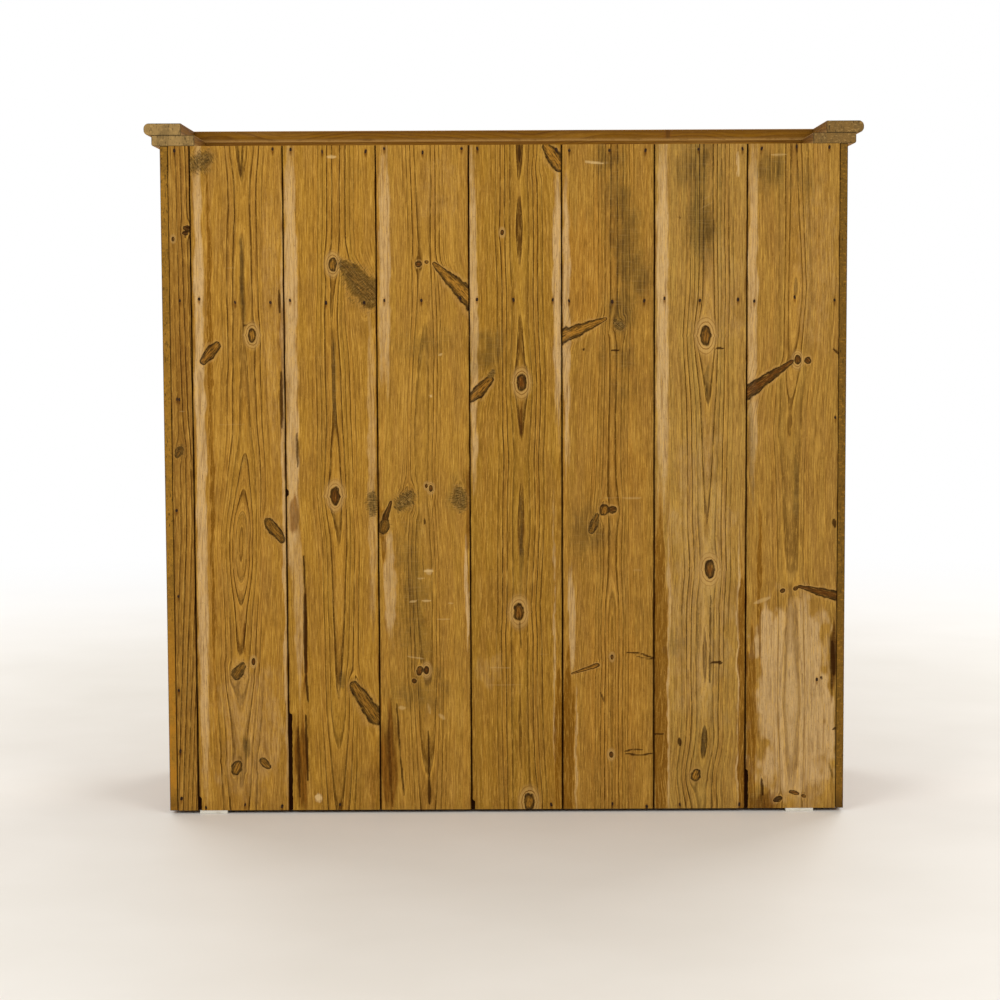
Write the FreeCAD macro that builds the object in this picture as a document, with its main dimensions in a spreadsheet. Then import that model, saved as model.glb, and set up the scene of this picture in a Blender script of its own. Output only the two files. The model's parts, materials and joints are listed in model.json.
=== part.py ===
import FreeCAD, Part

# A step back cupboard in pine, made in one case: the two sides run unbroken from the floor to the
# cornice and are stepped at the counter, so the upper cupboard is shallower than the base.
# The back is upright matchboarding, tongued and grooved. The base has two doors under two drawers,
# the upper cupboard has two doors, and a two-layer cornice lies flat on top.
#
# Frame: +X to the right as seen from the front, +Y to the back, +Z up, in millimetres.
# The origin is under the middle of the cupboard, on the floor. Left and right are the front's.

import math
import os
import re
import Sketcher
from collections import namedtuple

doc = FreeCAD.newDocument("StepBackCupboard")

# ---------------------------------------------------------------- the sheet of driving dimensions

SHEET = {
    "Case": {
        "body_width": (1220, "over both sides"),
        "base_depth": (432, "back of the case to the face of the base"),
        "upper_depth": (216, "back of the case to the face of the upper cupboard"),
        "counter_rise": (908, "foot of a side to the underside of the counter"),
        "upper_height": (264, "counter to the underside of the cornice"),
        "side_thickness": (22, "side planks"),
        "side_back_edge": (13, "strip of a side's back edge left beside the back boards"),
        "board_thickness": (22, "top board and bottom board"),
        "counter_thickness": (22, "counter board"),
        "counter_front_overhang": (15, "counter beyond the face of the base"),
        "counter_side_overhang": (12, "counter beyond the sides"),
        "counter_round": (6, "rounding of the counter's edges"),
        "housing_depth": (7, "housings that carry the boards in the sides"),
        "pad_height": (6, "floor pads"),
        "pad_width": (50, "floor pads, along the cupboard"),
        "pad_depth": (60, "floor pads, front to back"),
        "pad_inset": (54, "floor pads in from the sides"),
    },
    "Back": {
        "back_thickness": (16, "matchboards"),
        "ripped_cover": (39, "width that the ripped matchboard covers"),
        "back_joint": (2.4, "gap left open between two matchboards"),
        "tongue_thickness": (5, "tongue and groove"),
        "tongue_entry": (6, "how far a tongue enters its groove"),
        "groove_depth": (7, "depth of a matchboard's groove"),
    },
    "Cornice": {
        "lower_cornice_width": (76, "lower layer, outer edge to inner edge"),
        "lower_cornice_thickness": (19, "lower layer"),
        "lower_cornice_overhang": (14.5, "lower layer beyond the case"),
        "lower_cornice_round": (4, "its lower outer edge"),
        "upper_cornice_width": (66, "upper layer, outer edge to inner edge"),
        "upper_cornice_thickness": (21, "upper layer"),
        "upper_cornice_overhang": (28, "upper layer beyond the case"),
        "upper_cornice_round": (9, "bullnose of its outer edge"),
    },
    "Face frames": {
        "frame_thickness": (22, "stiles and rails of both face frames"),
        "base_stile_width": (60, "outer stiles of the base"),
        "base_centre_width": (60, "centre stile and drawer muntin"),
        "bottom_rail_height": (64, "bottom rail of the base"),
        "drawer_rail_height": (22, "rail between drawers and doors"),
        "drawer_rail_depth": (60, "the same rail, front to back"),
        "drawer_opening": (156, "drawer rail to counter"),
        "upper_stile_width": (48, "outer stiles of the upper cupboard"),
        "upper_centre_width": (48, "centre stile of the upper cupboard"),
        "head_rail_height": (40, "rail under the cornice"),
        "frame_tenon_length": (26, "tenons of the face frames"),
        "frame_tenon_thickness": (8, "tenons of the face frames"),
        "tenon_shoulder": (5, "rail left over at each edge of a tenon"),
        "door_stop_lap": (8, "how far a centre stile's stop reaches behind a door"),
        "door_stop_thickness": (10, "stop worked on the back of a centre stile"),
    },
    "Doors": {
        "door_thickness": (21, "stiles and rails"),
        "door_gap": (2, "round each door"),
        "lower_door_stile": (62, "lower doors"),
        "lower_door_rail": (62, "lower doors"),
        "upper_door_stile": (46, "upper doors"),
        "upper_door_rail": (44, "upper doors"),
        "door_tenon_length": (30, "rails into stiles"),
        "door_tenon_thickness": (7, "rails into stiles"),
        "panel_groove_depth": (9, "groove for the panel"),
        "panel_tongue": (7, "edge of the panel, and width of its groove"),
        "panel_setback": (8, "face of the door to the panel's edge"),
        "panel_play": (1.5, "room for the panel to swell, at each edge"),
        "field_rise": (6, "raised field over the panel's edge"),
        "field_bevel": (26, "width of the bevel round the field"),
    },
    "Hinges": {
        "hinge_length": (50, "leaf and barrel"),
        "leaf_thickness": (1.6, "leaf"),
        "leaf_proud": (0.7, "leaf left proud of its recess"),
        "leaf_width": (18, "leaf, face to back"),
        "knuckle_radius": (3.5, "barrel"),
        "knuckle_gap": (0.3, "between the knuckles, and from barrel to door"),
        "hinge_pin_radius": (1.6, "pin"),
        "hinge_pin_play": (0.05, "pin in the door's knuckle"),
        "lower_hinge_inset": (84, "end of a lower door to its hinge"),
        "upper_hinge_inset": (28, "end of an upper door to its hinge"),
    },
    "Knobs and turn buttons": {
        "knob_reach": (30, "knob, out from the face it stands on"),
        "knob_radius": (17, "knob's head"),
        "knob_foot_radius": (11, "knob's foot"),
        "knob_neck_radius": (7.5, "knob's neck"),
        "knob_neck_out": (11, "the neck's narrowest place, out from the face"),
        "knob_rim": (4, "straight edge round the knob's head"),
        "knob_crown_rise": (5, "slope round the knob's flat face"),
        "knob_crown_radius": (12, "knob's flat face"),
        "knob_spigot_radius": (6, "dowel turned on the knob"),
        "knob_spigot_length": (14, "dowel turned on the knob"),
        "knob_spigot_fit": (0.1, "glue round the dowel"),
        "knob_hole_room": (1, "glue behind the dowel"),
        "button_width": (20, "turn button"),
        "button_thickness": (9, "turn button"),
        "button_lap": (10, "how far a turned button reaches over each door"),
        "button_play": (0.4, "turn button off its stile"),
        "lower_button_rise": (90, "above the middle of the lower doors"),
        "upper_button_rise": (60, "above the middle of the upper doors"),
        "screw_radius": (2.2, "screw of a turn button"),
        "screw_play": (0.1, "screw in its turn button"),
        "screw_head_radius": (4.5, "screw of a turn button"),
        "screw_head_height": (1.8, "screw of a turn button"),
        "screw_grip": (16, "screw in its stile"),
    },
    "Drawers": {
        "drawer_gap": (2, "beside and above a drawer"),
        "drawer_ride": (0.4, "drawer over its runners"),
        "drawer_front_thickness": (22, "drawer front"),
        "drawer_side_thickness": (12, "drawer sides"),
        "drawer_back_thickness": (11, "drawer back"),
        "drawer_side_drop": (12, "sides lower than the front"),
        "drawer_bottom_thickness": (8, "drawer bottom"),
        "drawer_bottom_lift": (8, "under the drawer bottom"),
        "drawer_groove_depth": (5, "groove for the bottom"),
        "drawer_room": (8, "behind a shut drawer"),
        "drawer_lap": (6, "front left over the dovetails"),
        "tail_width": (22, "dovetail at its narrow end"),
        "tail_pitch": (40, "least spacing of the dovetails"),
        "tail_flare": (2.7, "how much a dovetail widens at each edge"),
    },
    "Inside": {
        "shelf_rise": (372, "foot of a side to the underside of the shelf"),
        "shelf_thickness": (20, "loose shelf"),
        "shelf_setback": (14, "face frame to the shelf"),
        "shelf_play": (1, "shelf off the sides"),
        "cleat_width": (22, "shelf cleats"),
        "cleat_height": (32, "shelf cleats"),
        "runner_reach": (18, "how far a runner reaches under its drawer"),
        "runner_height": (22, "drawer runners"),
        "guide_height": (24, "drawer guides"),
        "hanger_depth": (40, "hanger between the drawers"),
        "stop_inset": (125, "end of a drawer to the middle of its stop"),
        "stop_length": (40, "drawer stops"),
        "stop_depth": (18, "drawer stops"),
        "stop_height": (5, "drawer stops"),
        "stop_play": (0.5, "drawer front off its stops"),
    },
}

sheet = doc.addObject("Spreadsheet::Sheet", "Sizes")
row = 0
for section, sizes in SHEET.items():
    row += 1
    sheet.set(f"A{row}", section)
    for alias, (length, meaning) in sizes.items():
        row += 1
        sheet.set(f"A{row}", alias)
        sheet.set(f"B{row}", str(length))
        sheet.setAlias(f"B{row}", alias)
        sheet.set(f"C{row}", meaning)
doc.recompute()

ALIASES = {alias for sizes in SHEET.values() for alias in sizes}


def sized(expression):
    """The expression with the sheet's name before each of its aliases."""
    return re.sub(r"[a-z_]+", lambda word: f"Sizes.{word[0]}" if word[0] in ALIASES else word[0], expression)


def number(expression):
    """What an expression comes to, in millimetres."""
    return float(sheet.evalExpression(sized(expression)))


# ------------------------------------------------------------------- the planes that pieces share

# Heights. All are expressions of the sheet, and so are the planes below.
FOOT = "pad_height"
COUNTER_UNDER = f"({FOOT} + counter_rise)"
COUNTER_TOP = f"({COUNTER_UNDER} + counter_thickness)"
CASE_TOP = f"({COUNTER_TOP} + upper_height)"
CORNICE_MIDDLE = f"({CASE_TOP} + lower_cornice_thickness)"
SILL = f"({FOOT} + bottom_rail_height)"
DRAWER_FLOOR = f"({COUNTER_UNDER} - drawer_opening)"
DOOR_HEAD = f"({DRAWER_FLOOR} - drawer_rail_height)"
UPPER_HEAD = f"({CASE_TOP} - head_rail_height)"
SHELF_UNDER = f"({FOOT} + shelf_rise)"

# Depths, front to back. The knobs are what reaches furthest forward.
BACK = "((base_depth + knob_reach) / 2)"
BOARDS = f"({BACK} - back_thickness)"
BASE_FACE = f"({BACK} - base_depth)"
BASE_INNER = f"({BASE_FACE} + frame_thickness)"
UPPER_FACE = f"({BACK} - upper_depth)"
UPPER_INNER = f"({UPPER_FACE} + frame_thickness)"

# Distances from the middle.
HALF = "(body_width / 2)"
INSIDE = f"({HALF} - side_thickness)"
HOUSED = f"({INSIDE} + housing_depth)"
BASE_OPENING = f"({HALF} - base_stile_width)"
UPPER_OPENING = f"({HALF} - upper_stile_width)"

LEFT, RIGHT = -1, 1
SIDES = {"left": LEFT, "right": RIGHT}

# --------------------------------------------------------------------------------- building tools

kept = []


def keep(piece, label):
    """Gives a finished sub-part its own name, which names its file too."""
    piece.Label = label
    kept.append(piece)
    return piece


def place(piece, x="0", y="0", z="0"):
    """Binds where a piece stands to the sheet."""
    for axis, expression in zip("xyz", (x, y, z)):
        piece.setExpression(f"Placement.Base.{axis}", sized(expression))


def span(side, inner, outer):
    """The two distances from the middle as low and high X, on the side given."""
    return (inner, outer) if side == RIGHT else (f"-({outer})", f"-({inner})")


def both(reach):
    """From a distance left of the middle to the same distance right of it."""
    return (f"-({reach})", reach)


def at(side, distance):
    """A distance from the middle as X, on the side given."""
    return distance if side == RIGHT else f"-({distance})"


def block(name, x, y, z):
    """A squared piece of wood or metal between low and high X, Y and Z."""
    piece = doc.addObject("Part::Box", name)
    for size, (low, high) in zip(("Length", "Width", "Height"), (x, y, z)):
        piece.setExpression(size, sized(f"({high}) - ({low})"))
    place(piece, x[0], y[0], z[0])
    return piece


UPRIGHT = FreeCAD.Rotation()
LYING_BACK = FreeCAD.Rotation(FreeCAD.Vector(1, 0, 0), -90)


def cylinder(name, radius, ends, x, y, z, turn):
    """A round piece that starts at X, Y, Z."""
    piece = doc.addObject("Part::Cylinder", name)
    piece.setExpression("Radius", sized(radius))
    piece.setExpression("Height", sized(f"({ends[1]}) - ({ends[0]})"))
    piece.Placement = FreeCAD.Placement(FreeCAD.Vector(), turn)
    place(piece, x, y, z)
    return piece


def rod(name, radius, x, y, z):
    """An upright round piece between low and high Z."""
    return cylinder(name, radius, z, x, y, z[0], UPRIGHT)


def peg(name, radius, x, y, z):
    """A round piece along Y, between low and high Y."""
    return cylinder(name, radius, y, x, y[0], z, LYING_BACK)


def wedge(name, x, y, z, far_x, far_z):
    """A tapered block. Its X and Z at low Y come first, and those at high Y last."""
    piece = doc.addObject("Part::Wedge", name)
    bounds = {"X": x, "Y": y, "Z": z, "X2": far_x, "Z2": far_z}
    for bound, (low, high) in bounds.items():
        piece.setExpression(f"{bound}min", sized(low))
        piece.setExpression(f"{bound}max", sized(high))
    return piece


def join(name, pieces):
    """Several shapes glued into one solid."""
    if len(pieces) == 1:
        return pieces[0]
    joined = doc.addObject("Part::MultiFuse", name)
    joined.Shapes = pieces
    joined.Refine = True
    return joined


def cut(name, base, tools):
    """The base less every tool."""
    piece = doc.addObject("Part::Cut", name)
    piece.Base = base
    piece.Tool = join(f"{name}_waste", tools)
    return piece


def group(name, pieces):
    """Separate solids that share one sub-part."""
    together = doc.addObject("Part::Compound", name)
    together.Links = pieces
    return together


def origin_plane(body, role):
    """One of a body's own origin planes."""
    return next(feature for feature in body.Origin.OriginFeatures if feature.Role == role)


def draw(sketch, corners):
    """A closed outline of straight lines. Each corner is held to the sheet by its X and Y."""
    points = [FreeCAD.Vector(number(x), number(y), 0) for x, y in corners]
    count = len(points)
    for start, end in zip(points, points[1:] + points[:1]):
        sketch.addGeometry(Part.LineSegment(start, end))
    for line in range(count):
        sketch.addConstraint(Sketcher.Constraint("Coincident", line, 2, (line + 1) % count, 1))
    for line, (corner, point) in enumerate(zip(corners, points)):
        for kind, expression, start in zip(("DistanceX", "DistanceY"), corner, point):
            held = sketch.addConstraint(Sketcher.Constraint(kind, -1, 1, line, 1, start))
            sketch.setExpression(f"Constraints[{held}]", sized(expression))


def sketched(name, corners, feature="PartDesign::Pad"):
    """A body with one sketch on its XY plane and one feature made from it."""
    body = doc.addObject("PartDesign::Body", name)
    sketch = body.newObject("Sketcher::SketchObject", f"{name}_outline")
    sketch.AttachmentSupport = [(origin_plane(body, "XY_Plane"), "")]
    sketch.MapMode = "FlatFace"
    draw(sketch, corners)
    made = body.newObject(feature, f"{name}_form")
    made.Profile = sketch
    return body, sketch, made


def padded(name, corners, thickness):
    """A body cut to an outline and as thick as given."""
    body, _, pad = sketched(name, corners)
    pad.setExpression("Length", sized(thickness))
    return body, pad


def rounded(body, base, radius, chosen):
    """Rounds those edges of a body's last feature that the test picks."""
    doc.recompute()
    edges = [f"Edge{order}" for order, edge in enumerate(base.Shape.Edges, start=1) if chosen(edge)]
    fillet = body.newObject("PartDesign::Fillet", f"{body.Name}_round")
    fillet.Base = (base, edges)
    fillet.setExpression("Radius", sized(radius))
    return fillet


def lies_at(edge, axis, expression):
    """Whether the whole edge is at one X, Y or Z."""
    low = getattr(edge.BoundBox, f"{axis}Min")
    high = getattr(edge.BoundBox, f"{axis}Max")
    return max(abs(low - number(expression)), abs(high - number(expression))) < 0.001


# ------------------------------------------------------------------- case: sides, boards and pads

BOARD_LEVELS = {
    "top": (f"{CASE_TOP} - board_thickness", CASE_TOP),
    "counter": (COUNTER_UNDER, COUNTER_TOP),
    "bottom": (FOOT, f"{FOOT} + board_thickness"),
}


def side(label, hand):
    """A stepped side: a rear plank of full height and a front plank that stops under the counter.

    The rear plank is rebated for the back boards, and both are housed for the boards they carry.
    """
    name = f"side_{label}"
    across = span(hand, INSIDE, HALF)
    rear = block(f"{name}_rear_blank", across, (UPPER_INNER, BACK), (FOOT, CASE_TOP))
    front = block(f"{name}_front_blank", across, (BASE_INNER, UPPER_INNER), (FOOT, COUNTER_UNDER))
    rebate_across = span(hand, INSIDE, f"{HALF} - side_back_edge")
    rebate = block(f"{name}_rebate", rebate_across, (BOARDS, BACK), (FOOT, CASE_TOP))
    housed_across = span(hand, INSIDE, HOUSED)
    housings = {
        level: block(f"{name}_{level}_housing", housed_across, (BASE_INNER, BOARDS), heights)
        for level, heights in BOARD_LEVELS.items()
    }
    rear_plank = cut(f"{name}_rear", rear, [rebate, *housings.values()])
    front_plank = cut(f"{name}_front", front, [housings["bottom"]])
    keep(group(name, [rear_plank, front_plank]), name)


def counter_board():
    """The counter: full width over the base, and narrowed at the back to run between the planks."""
    front = f"({BASE_FACE} - counter_front_overhang)"
    wide = f"({HALF} + counter_side_overhang)"
    corners = [
        (f"-{wide}", front),
        (wide, front),
        (wide, UPPER_INNER),
        (HOUSED, UPPER_INNER),
        (HOUSED, BOARDS),
        (f"-{HOUSED}", BOARDS),
        (f"-{HOUSED}", UPPER_INNER),
        (f"-{wide}", UPPER_INNER),
    ]
    body, pad = padded("counter", corners, "counter_thickness")

    def show_edge(edge):
        outer = lies_at(edge, "Y", front) or lies_at(edge, "X", wide) or lies_at(edge, "X", f"-{wide}")
        return outer and edge.BoundBox.ZLength < 0.001

    rounded(body, pad, "counter_round", show_edge)
    place(body, z=COUNTER_UNDER)
    keep(body, "counter_board")


for label, hand in SIDES.items():
    side(label, hand)
keep(block("top", both(HOUSED), (UPPER_INNER, BOARDS), BOARD_LEVELS["top"]), "top_board")
keep(block("bottom", both(HOUSED), (BASE_INNER, BOARDS), BOARD_LEVELS["bottom"]), "bottom_board")
counter_board()

PAD_ENDS = {
    "front": (BASE_FACE, f"{BASE_FACE} + pad_depth"),
    "back": (f"{BACK} - pad_depth", BACK),
}
PAD_OUTER = f"({HALF} - pad_inset)"
pads = [
    block(f"pad_{label}_{end}", span(hand, f"{PAD_OUTER} - pad_width", PAD_OUTER), y, ("0", FOOT))
    for label, hand in SIDES.items()
    for end, y in PAD_ENDS.items()
]
keep(group("pads", pads), "floor_pads")

# ----------------------------------------------------------------------- back: the matchboarding

# The boards are numbered from the right. The first is ripped from a wider one to fit, and the
# others share the rest of the back evenly.
FULL_BOARDS = 7
BACK_EDGE = f"({HALF} - side_back_edge)"
FULL_COVER = f"((2 * {BACK_EDGE} - ripped_cover) / {FULL_BOARDS})"


def joint_left_of(order):
    """The middle of the joint on the left of a board. Left of the last board is the side's edge."""
    return f"({BACK_EDGE} - ripped_cover - {FULL_COVER} * {order - 1})"


def matchboard(order):
    """One upright board, grooved on its right edge and tongued on its left.

    The outer edges of the first and last board are plain. Zero in Y is the board's back face.
    """
    low = f"({joint_left_of(order)} + back_joint / 2)"
    high_joint = BACK_EDGE if order == 1 else joint_left_of(order - 1)
    high = f"({high_joint} - back_joint / 2)"
    shallow = "((tongue_thickness - back_thickness) / 2)"
    deep = f"({shallow} - tongue_thickness)"
    groove = [
        (high, shallow),
        (f"{high} - groove_depth", shallow),
        (f"{high} - groove_depth", deep),
        (high, deep),
    ]
    tip = f"({low} - back_joint - tongue_entry)"
    tongue = [(low, deep), (tip, deep), (tip, shallow), (low, shallow)]
    right_edge = groove if order > 1 else []
    left_edge = tongue if order <= FULL_BOARDS else []
    corners = [
        (high, "0"),
        *right_edge,
        (high, "-back_thickness"),
        (low, "-back_thickness"),
        *left_edge,
        (low, "0"),
    ]
    body, _ = padded(f"matchboard_{order}", corners, f"{CASE_TOP} - {FOOT}")
    place(body, y=BACK, z=FOOT)
    keep(body, f"back_board_{order}")


for order in range(1, FULL_BOARDS + 2):
    matchboard(order)

# ------------------------------------------------------------ cornice: two layers, mitred in front

# foot: the underside of a layer. rounded: the heights over it at which its outer edge is rounded.
Layer = namedtuple("Layer", "name foot rounded")
LAYERS = (
    Layer("lower", CASE_TOP, ["0"]),
    Layer("upper", CORNICE_MIDDLE, ["0", "upper_cornice_thickness"]),
)


def cornice_run(layer, label, corners, axis, outer):
    """One run of a layer, with its outer edge rounded. The edge lies at one X or one Y."""
    body, pad = padded(f"cornice_{layer.name}_{label}", corners, f"{layer.name}_cornice_thickness")

    def show_edge(edge):
        return lies_at(edge, axis, outer) and any(lies_at(edge, "Z", height) for height in layer.rounded)

    rounded(body, pad, f"{layer.name}_cornice_round", show_edge)
    place(body, z=layer.foot)
    return body


def cornice(layer):
    """A front run mitred at both ends, and a return down each side that is square at the back."""
    width = f"{layer.name}_cornice_width"
    outer = f"({HALF} + {layer.name}_cornice_overhang)"
    inner = f"({outer} - {width})"
    front = f"({UPPER_FACE} - {layer.name}_cornice_overhang)"
    front_inner = f"({front} + {width})"

    front_corners = [(f"-{outer}", front), (outer, front), (inner, front_inner), (f"-{inner}", front_inner)]
    keep(cornice_run(layer, "front_run", front_corners, "Y", front), f"cornice_{layer.name}_front")

    returns = []
    for label, hand in SIDES.items():
        edge = at(hand, outer)
        inner_edge = at(hand, inner)
        corners = [(edge, front), (edge, BACK), (inner_edge, BACK), (inner_edge, front_inner)]
        returns.append(cornice_run(layer, f"{label}_return", corners, "X", edge))
    keep(group(f"cornice_{layer.name}_sides", returns), f"cornice_{layer.name}_returns")


for layer in LAYERS:
    cornice(layer)

# --------------------------------------------------------------- the two door levels and the doors

# face: plane of the fronts. foot, head: the doors' opening. centre, stile: widths beside it.
Level = namedtuple("Level", "name face foot head centre stile")
LEVELS = (
    Level("lower", BASE_FACE, SILL, DOOR_HEAD, "base_centre_width", "base_stile_width"),
    Level("upper", UPPER_FACE, COUNTER_TOP, UPPER_HEAD, "upper_centre_width", "upper_stile_width"),
)



def middle_of(level):
    """The height of the middle of a level's doors."""
    return f"(({level.foot} + {level.head}) / 2)"


frame_leaves = []
frame_recesses = {}
door_recesses = {}
door_leaves = {}


def hinge(name, level, hand, foot):
    """A butt hinge of three knuckles, with its leaves let into the stile and the door.

    The frame's leaf has the outer knuckles, and the pin is riveted in them. The door's leaf turns
    on the pin with the middle knuckle.
    """
    opening = f"({HALF} - {level.stile})"
    head = f"({foot} + hinge_length)"
    axis_x = at(hand, f"({opening} - door_gap / 2)")
    axis_y = f"({level.face} - knuckle_radius - knuckle_gap)"
    low_knuckle = (foot, f"({foot} + (hinge_length - knuckle_gap) / 3)")
    high_knuckle = (f"({head} - (hinge_length - knuckle_gap) / 3)", head)
    middle_knuckle = (f"({low_knuckle[1]} + knuckle_gap)", f"({high_knuckle[0]} - knuckle_gap)")

    def leaf(part, surface, knuckles):
        """The plate of a leaf from its surface outwards, and its knuckles with their webs."""
        x = span(hand, surface, f"{surface} + leaf_thickness")
        plate = block(f"{name}_{part}_plate", x, (level.face, f"{level.face} + leaf_width"), (foot, head))
        rolled = []
        for order, z in enumerate(knuckles):
            rolled.append(rod(f"{name}_{part}_barrel_{order}", "knuckle_radius", axis_x, axis_y, z))
            rolled.append(block(f"{name}_{part}_web_{order}", x, (axis_y, level.face), z))
        return plate, rolled

    frame_surface = f"({opening} - leaf_proud)"
    door_surface = f"({opening} - door_gap + leaf_proud - leaf_thickness)"
    frame_plate, frame_knuckles = leaf("frame", frame_surface, [low_knuckle, high_knuckle])
    door_plate, door_knuckle = leaf("door", door_surface, [middle_knuckle])
    pin = rod(f"{name}_pin", "hinge_pin_radius", axis_x, axis_y, (foot, head))
    bore = rod(f"{name}_bore", "hinge_pin_radius + hinge_pin_play", axis_x, axis_y, middle_knuckle)
    door_leaf = cut(f"{name}_door_leaf", join(f"{name}_door_body", [door_plate, *door_knuckle]), [bore])

    frame_leaves.append(join(f"{name}_frame_leaf", [frame_plate, *frame_knuckles, pin]))
    frame_recesses.setdefault((level.name, hand), []).append(frame_plate)
    door_recesses.setdefault((level.name, hand), []).append(door_plate)
    door_leaves.setdefault((level.name, hand), []).append(door_leaf)


for level in LEVELS:
    for label, hand in SIDES.items():
        inset = f"(door_gap + {level.name}_hinge_inset)"
        hinge(f"{level.name}_{label}_hinge_low", level, hand, f"({level.foot} + {inset})")
        hinge(f"{level.name}_{label}_hinge_high", level, hand, f"({level.head} - {inset} - hinge_length)")
keep(group("frame_leaves", frame_leaves), "frame_hinge_leaves")

# ------------------------------------------------------------------------------------------- knobs


def knob(name, x, face, z):
    """A turned knob with a dowel on its back. The outline is half of its section, beside its axis."""
    rim = "(knob_crown_rise - knob_reach)"
    corners = [
        ("0", "knob_spigot_length"),
        ("knob_spigot_radius", "knob_spigot_length"),
        ("knob_spigot_radius", "0"),
        ("knob_foot_radius", "0"),
        ("knob_neck_radius", "-knob_neck_out"),
        ("knob_radius", f"{rim} + knob_rim"),
        ("knob_radius", rim),
        ("knob_crown_radius", "-knob_reach"),
        ("0", "-knob_reach"),
    ]
    body, sketch, turned = sketched(name, corners, "PartDesign::Revolution")
    turned.ReferenceAxis = (sketch, ["V_Axis"])
    turned.Angle = 360
    place(body, x, face, z)
    return body


def knob_hole(name, x, face, z):
    """The hole that a knob's dowel is glued into."""
    y = (face, f"{face} + knob_spigot_length + knob_hole_room")
    return peg(name, "knob_spigot_radius + knob_spigot_fit", x, y, z)


# ------------------------------------------------------------------------------------------- doors


# across: lock edge, the panel opening's near and far edge, hinge edge, as distances from the
# middle. up: the foot, the panel opening's low and high edge, the head.
Door = namedtuple("Door", "name level hand across up")


def door_lines(level, label, hand):
    """Where the outer edges of a door and the edges of its panel opening lie."""
    stile = f"{level.name}_door_stile"
    rail = f"{level.name}_door_rail"
    lock_edge = f"({level.centre} / 2 + door_gap)"
    hinge_edge = f"({HALF} - {level.stile} - door_gap)"
    foot = f"({level.foot} + door_gap)"
    head = f"({level.head} - door_gap)"
    across = (lock_edge, f"({lock_edge} + {stile})", f"({hinge_edge} - {stile})", hinge_edge)
    up = (foot, f"({foot} + {rail})", f"({head} - {rail})", head)
    return Door(f"{level.name}_{label}_door", level, hand, across, up)


def beyond_opening(door, reach):
    """A door's panel opening with a margin added all round, as low and high X and Z."""
    _, light_in, light_out, _ = door.across
    _, light_foot, light_head, _ = door.up
    x = span(door.hand, f"{light_in} - ({reach})", f"{light_out} + ({reach})")
    return x, (f"{light_foot} - ({reach})", f"{light_head} + ({reach})")


def panel_edge(name, door, reach):
    """A block as thick as the panel's edge and larger than the panel opening, for panel or groove."""
    x, z = beyond_opening(door, reach)
    front = f"({door.level.face} + panel_setback)"
    return block(name, x, (front, f"{front} + panel_tongue"), z)


def door_framing(door, hole):
    """Two mortised stiles and two tenoned rails, all grooved for the panel."""
    name = door.name
    lock_edge, light_in, light_out, hinge_edge = door.across
    foot, light_foot, light_head, head = door.up
    face = door.level.face
    groove = panel_edge(f"{name}_groove", door, "panel_groove_depth")

    tenon_x = span(door.hand, f"{light_in} - door_tenon_length", f"{light_out} + door_tenon_length")
    tenon_front = f"({face} + (door_thickness - door_tenon_thickness) / 2)"
    tenon_y = (tenon_front, f"{tenon_front} + door_tenon_thickness")
    tenon_z = {
        "low": (f"{foot} + tenon_shoulder", f"{light_foot} - panel_groove_depth"),
        "high": (f"{light_head} + panel_groove_depth", f"{head} - tenon_shoulder"),
    }
    tenons = {end: block(f"{name}_{end}_tenon", tenon_x, tenon_y, z) for end, z in tenon_z.items()}

    thick = (face, f"{face} + door_thickness")
    stiles = {
        "lock": (span(door.hand, lock_edge, light_in), [hole]),
        "hinge": (span(door.hand, light_out, hinge_edge), door_recesses[(door.level.name, door.hand)]),
    }
    rails = {"low": (foot, light_foot), "high": (light_head, head)}
    pieces = []
    for part, (x, fittings) in stiles.items():
        blank = block(f"{name}_{part}_blank", x, thick, (foot, head))
        pieces.append(cut(f"{name}_{part}_stile", blank, [groove, *tenons.values(), *fittings]))
    for end, z in rails.items():
        blank = block(f"{name}_{end}_blank", span(door.hand, light_in, light_out), thick, z)
        tenoned = join(f"{name}_{end}_tenoned", [blank, tenons[end]])
        pieces.append(cut(f"{name}_{end}_rail", tenoned, [groove]))
    return group(f"{name}_framing", pieces)


def door_panel(door):
    """A fielded panel: a thin edge loose in its groove, and a flat field bevelled down to it."""
    edge = panel_edge(f"{door.name}_panel_edge", door, "panel_groove_depth - panel_play")
    flat_x, flat_z = beyond_opening(door, "-field_bevel")
    foot_x, foot_z = beyond_opening(door, "-panel_play")
    back = f"({door.level.face} + panel_setback)"
    field = wedge(f"{door.name}_field", flat_x, (f"{back} - field_rise", back), flat_z, foot_x, foot_z)
    return join(f"{door.name}_panel_board", [edge, field])


def door(level, label, hand):
    """A framed door with its panel, knob and hinge leaves."""
    lines = door_lines(level, label, hand)
    name = lines.name
    knob_x = at(hand, f"({lines.across[0]} + {level.name}_door_stile / 2)")
    hole = knob_hole(f"{name}_knob_hole", knob_x, level.face, middle_of(level))
    keep(door_framing(lines, hole), f"{name}_frame")
    keep(door_panel(lines), f"{name}_panel")
    keep(knob(f"{name}_turned_knob", knob_x, level.face, middle_of(level)), f"{name}_knob")
    keep(group(f"{name}_leaves", door_leaves[(level.name, hand)]), f"{name}_hinge_leaves")


for level in LEVELS:
    for label, hand in SIDES.items():
        door(level, label, hand)

# ------------------------------------------------------------------------------------ face frames


def frame_tenon(name, x, face, z):
    """A tenon of a face frame, in the middle of its thickness."""
    front = f"({face} + (frame_thickness - frame_tenon_thickness) / 2)"
    return block(name, x, (front, f"{front} + frame_tenon_thickness"), z)


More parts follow.
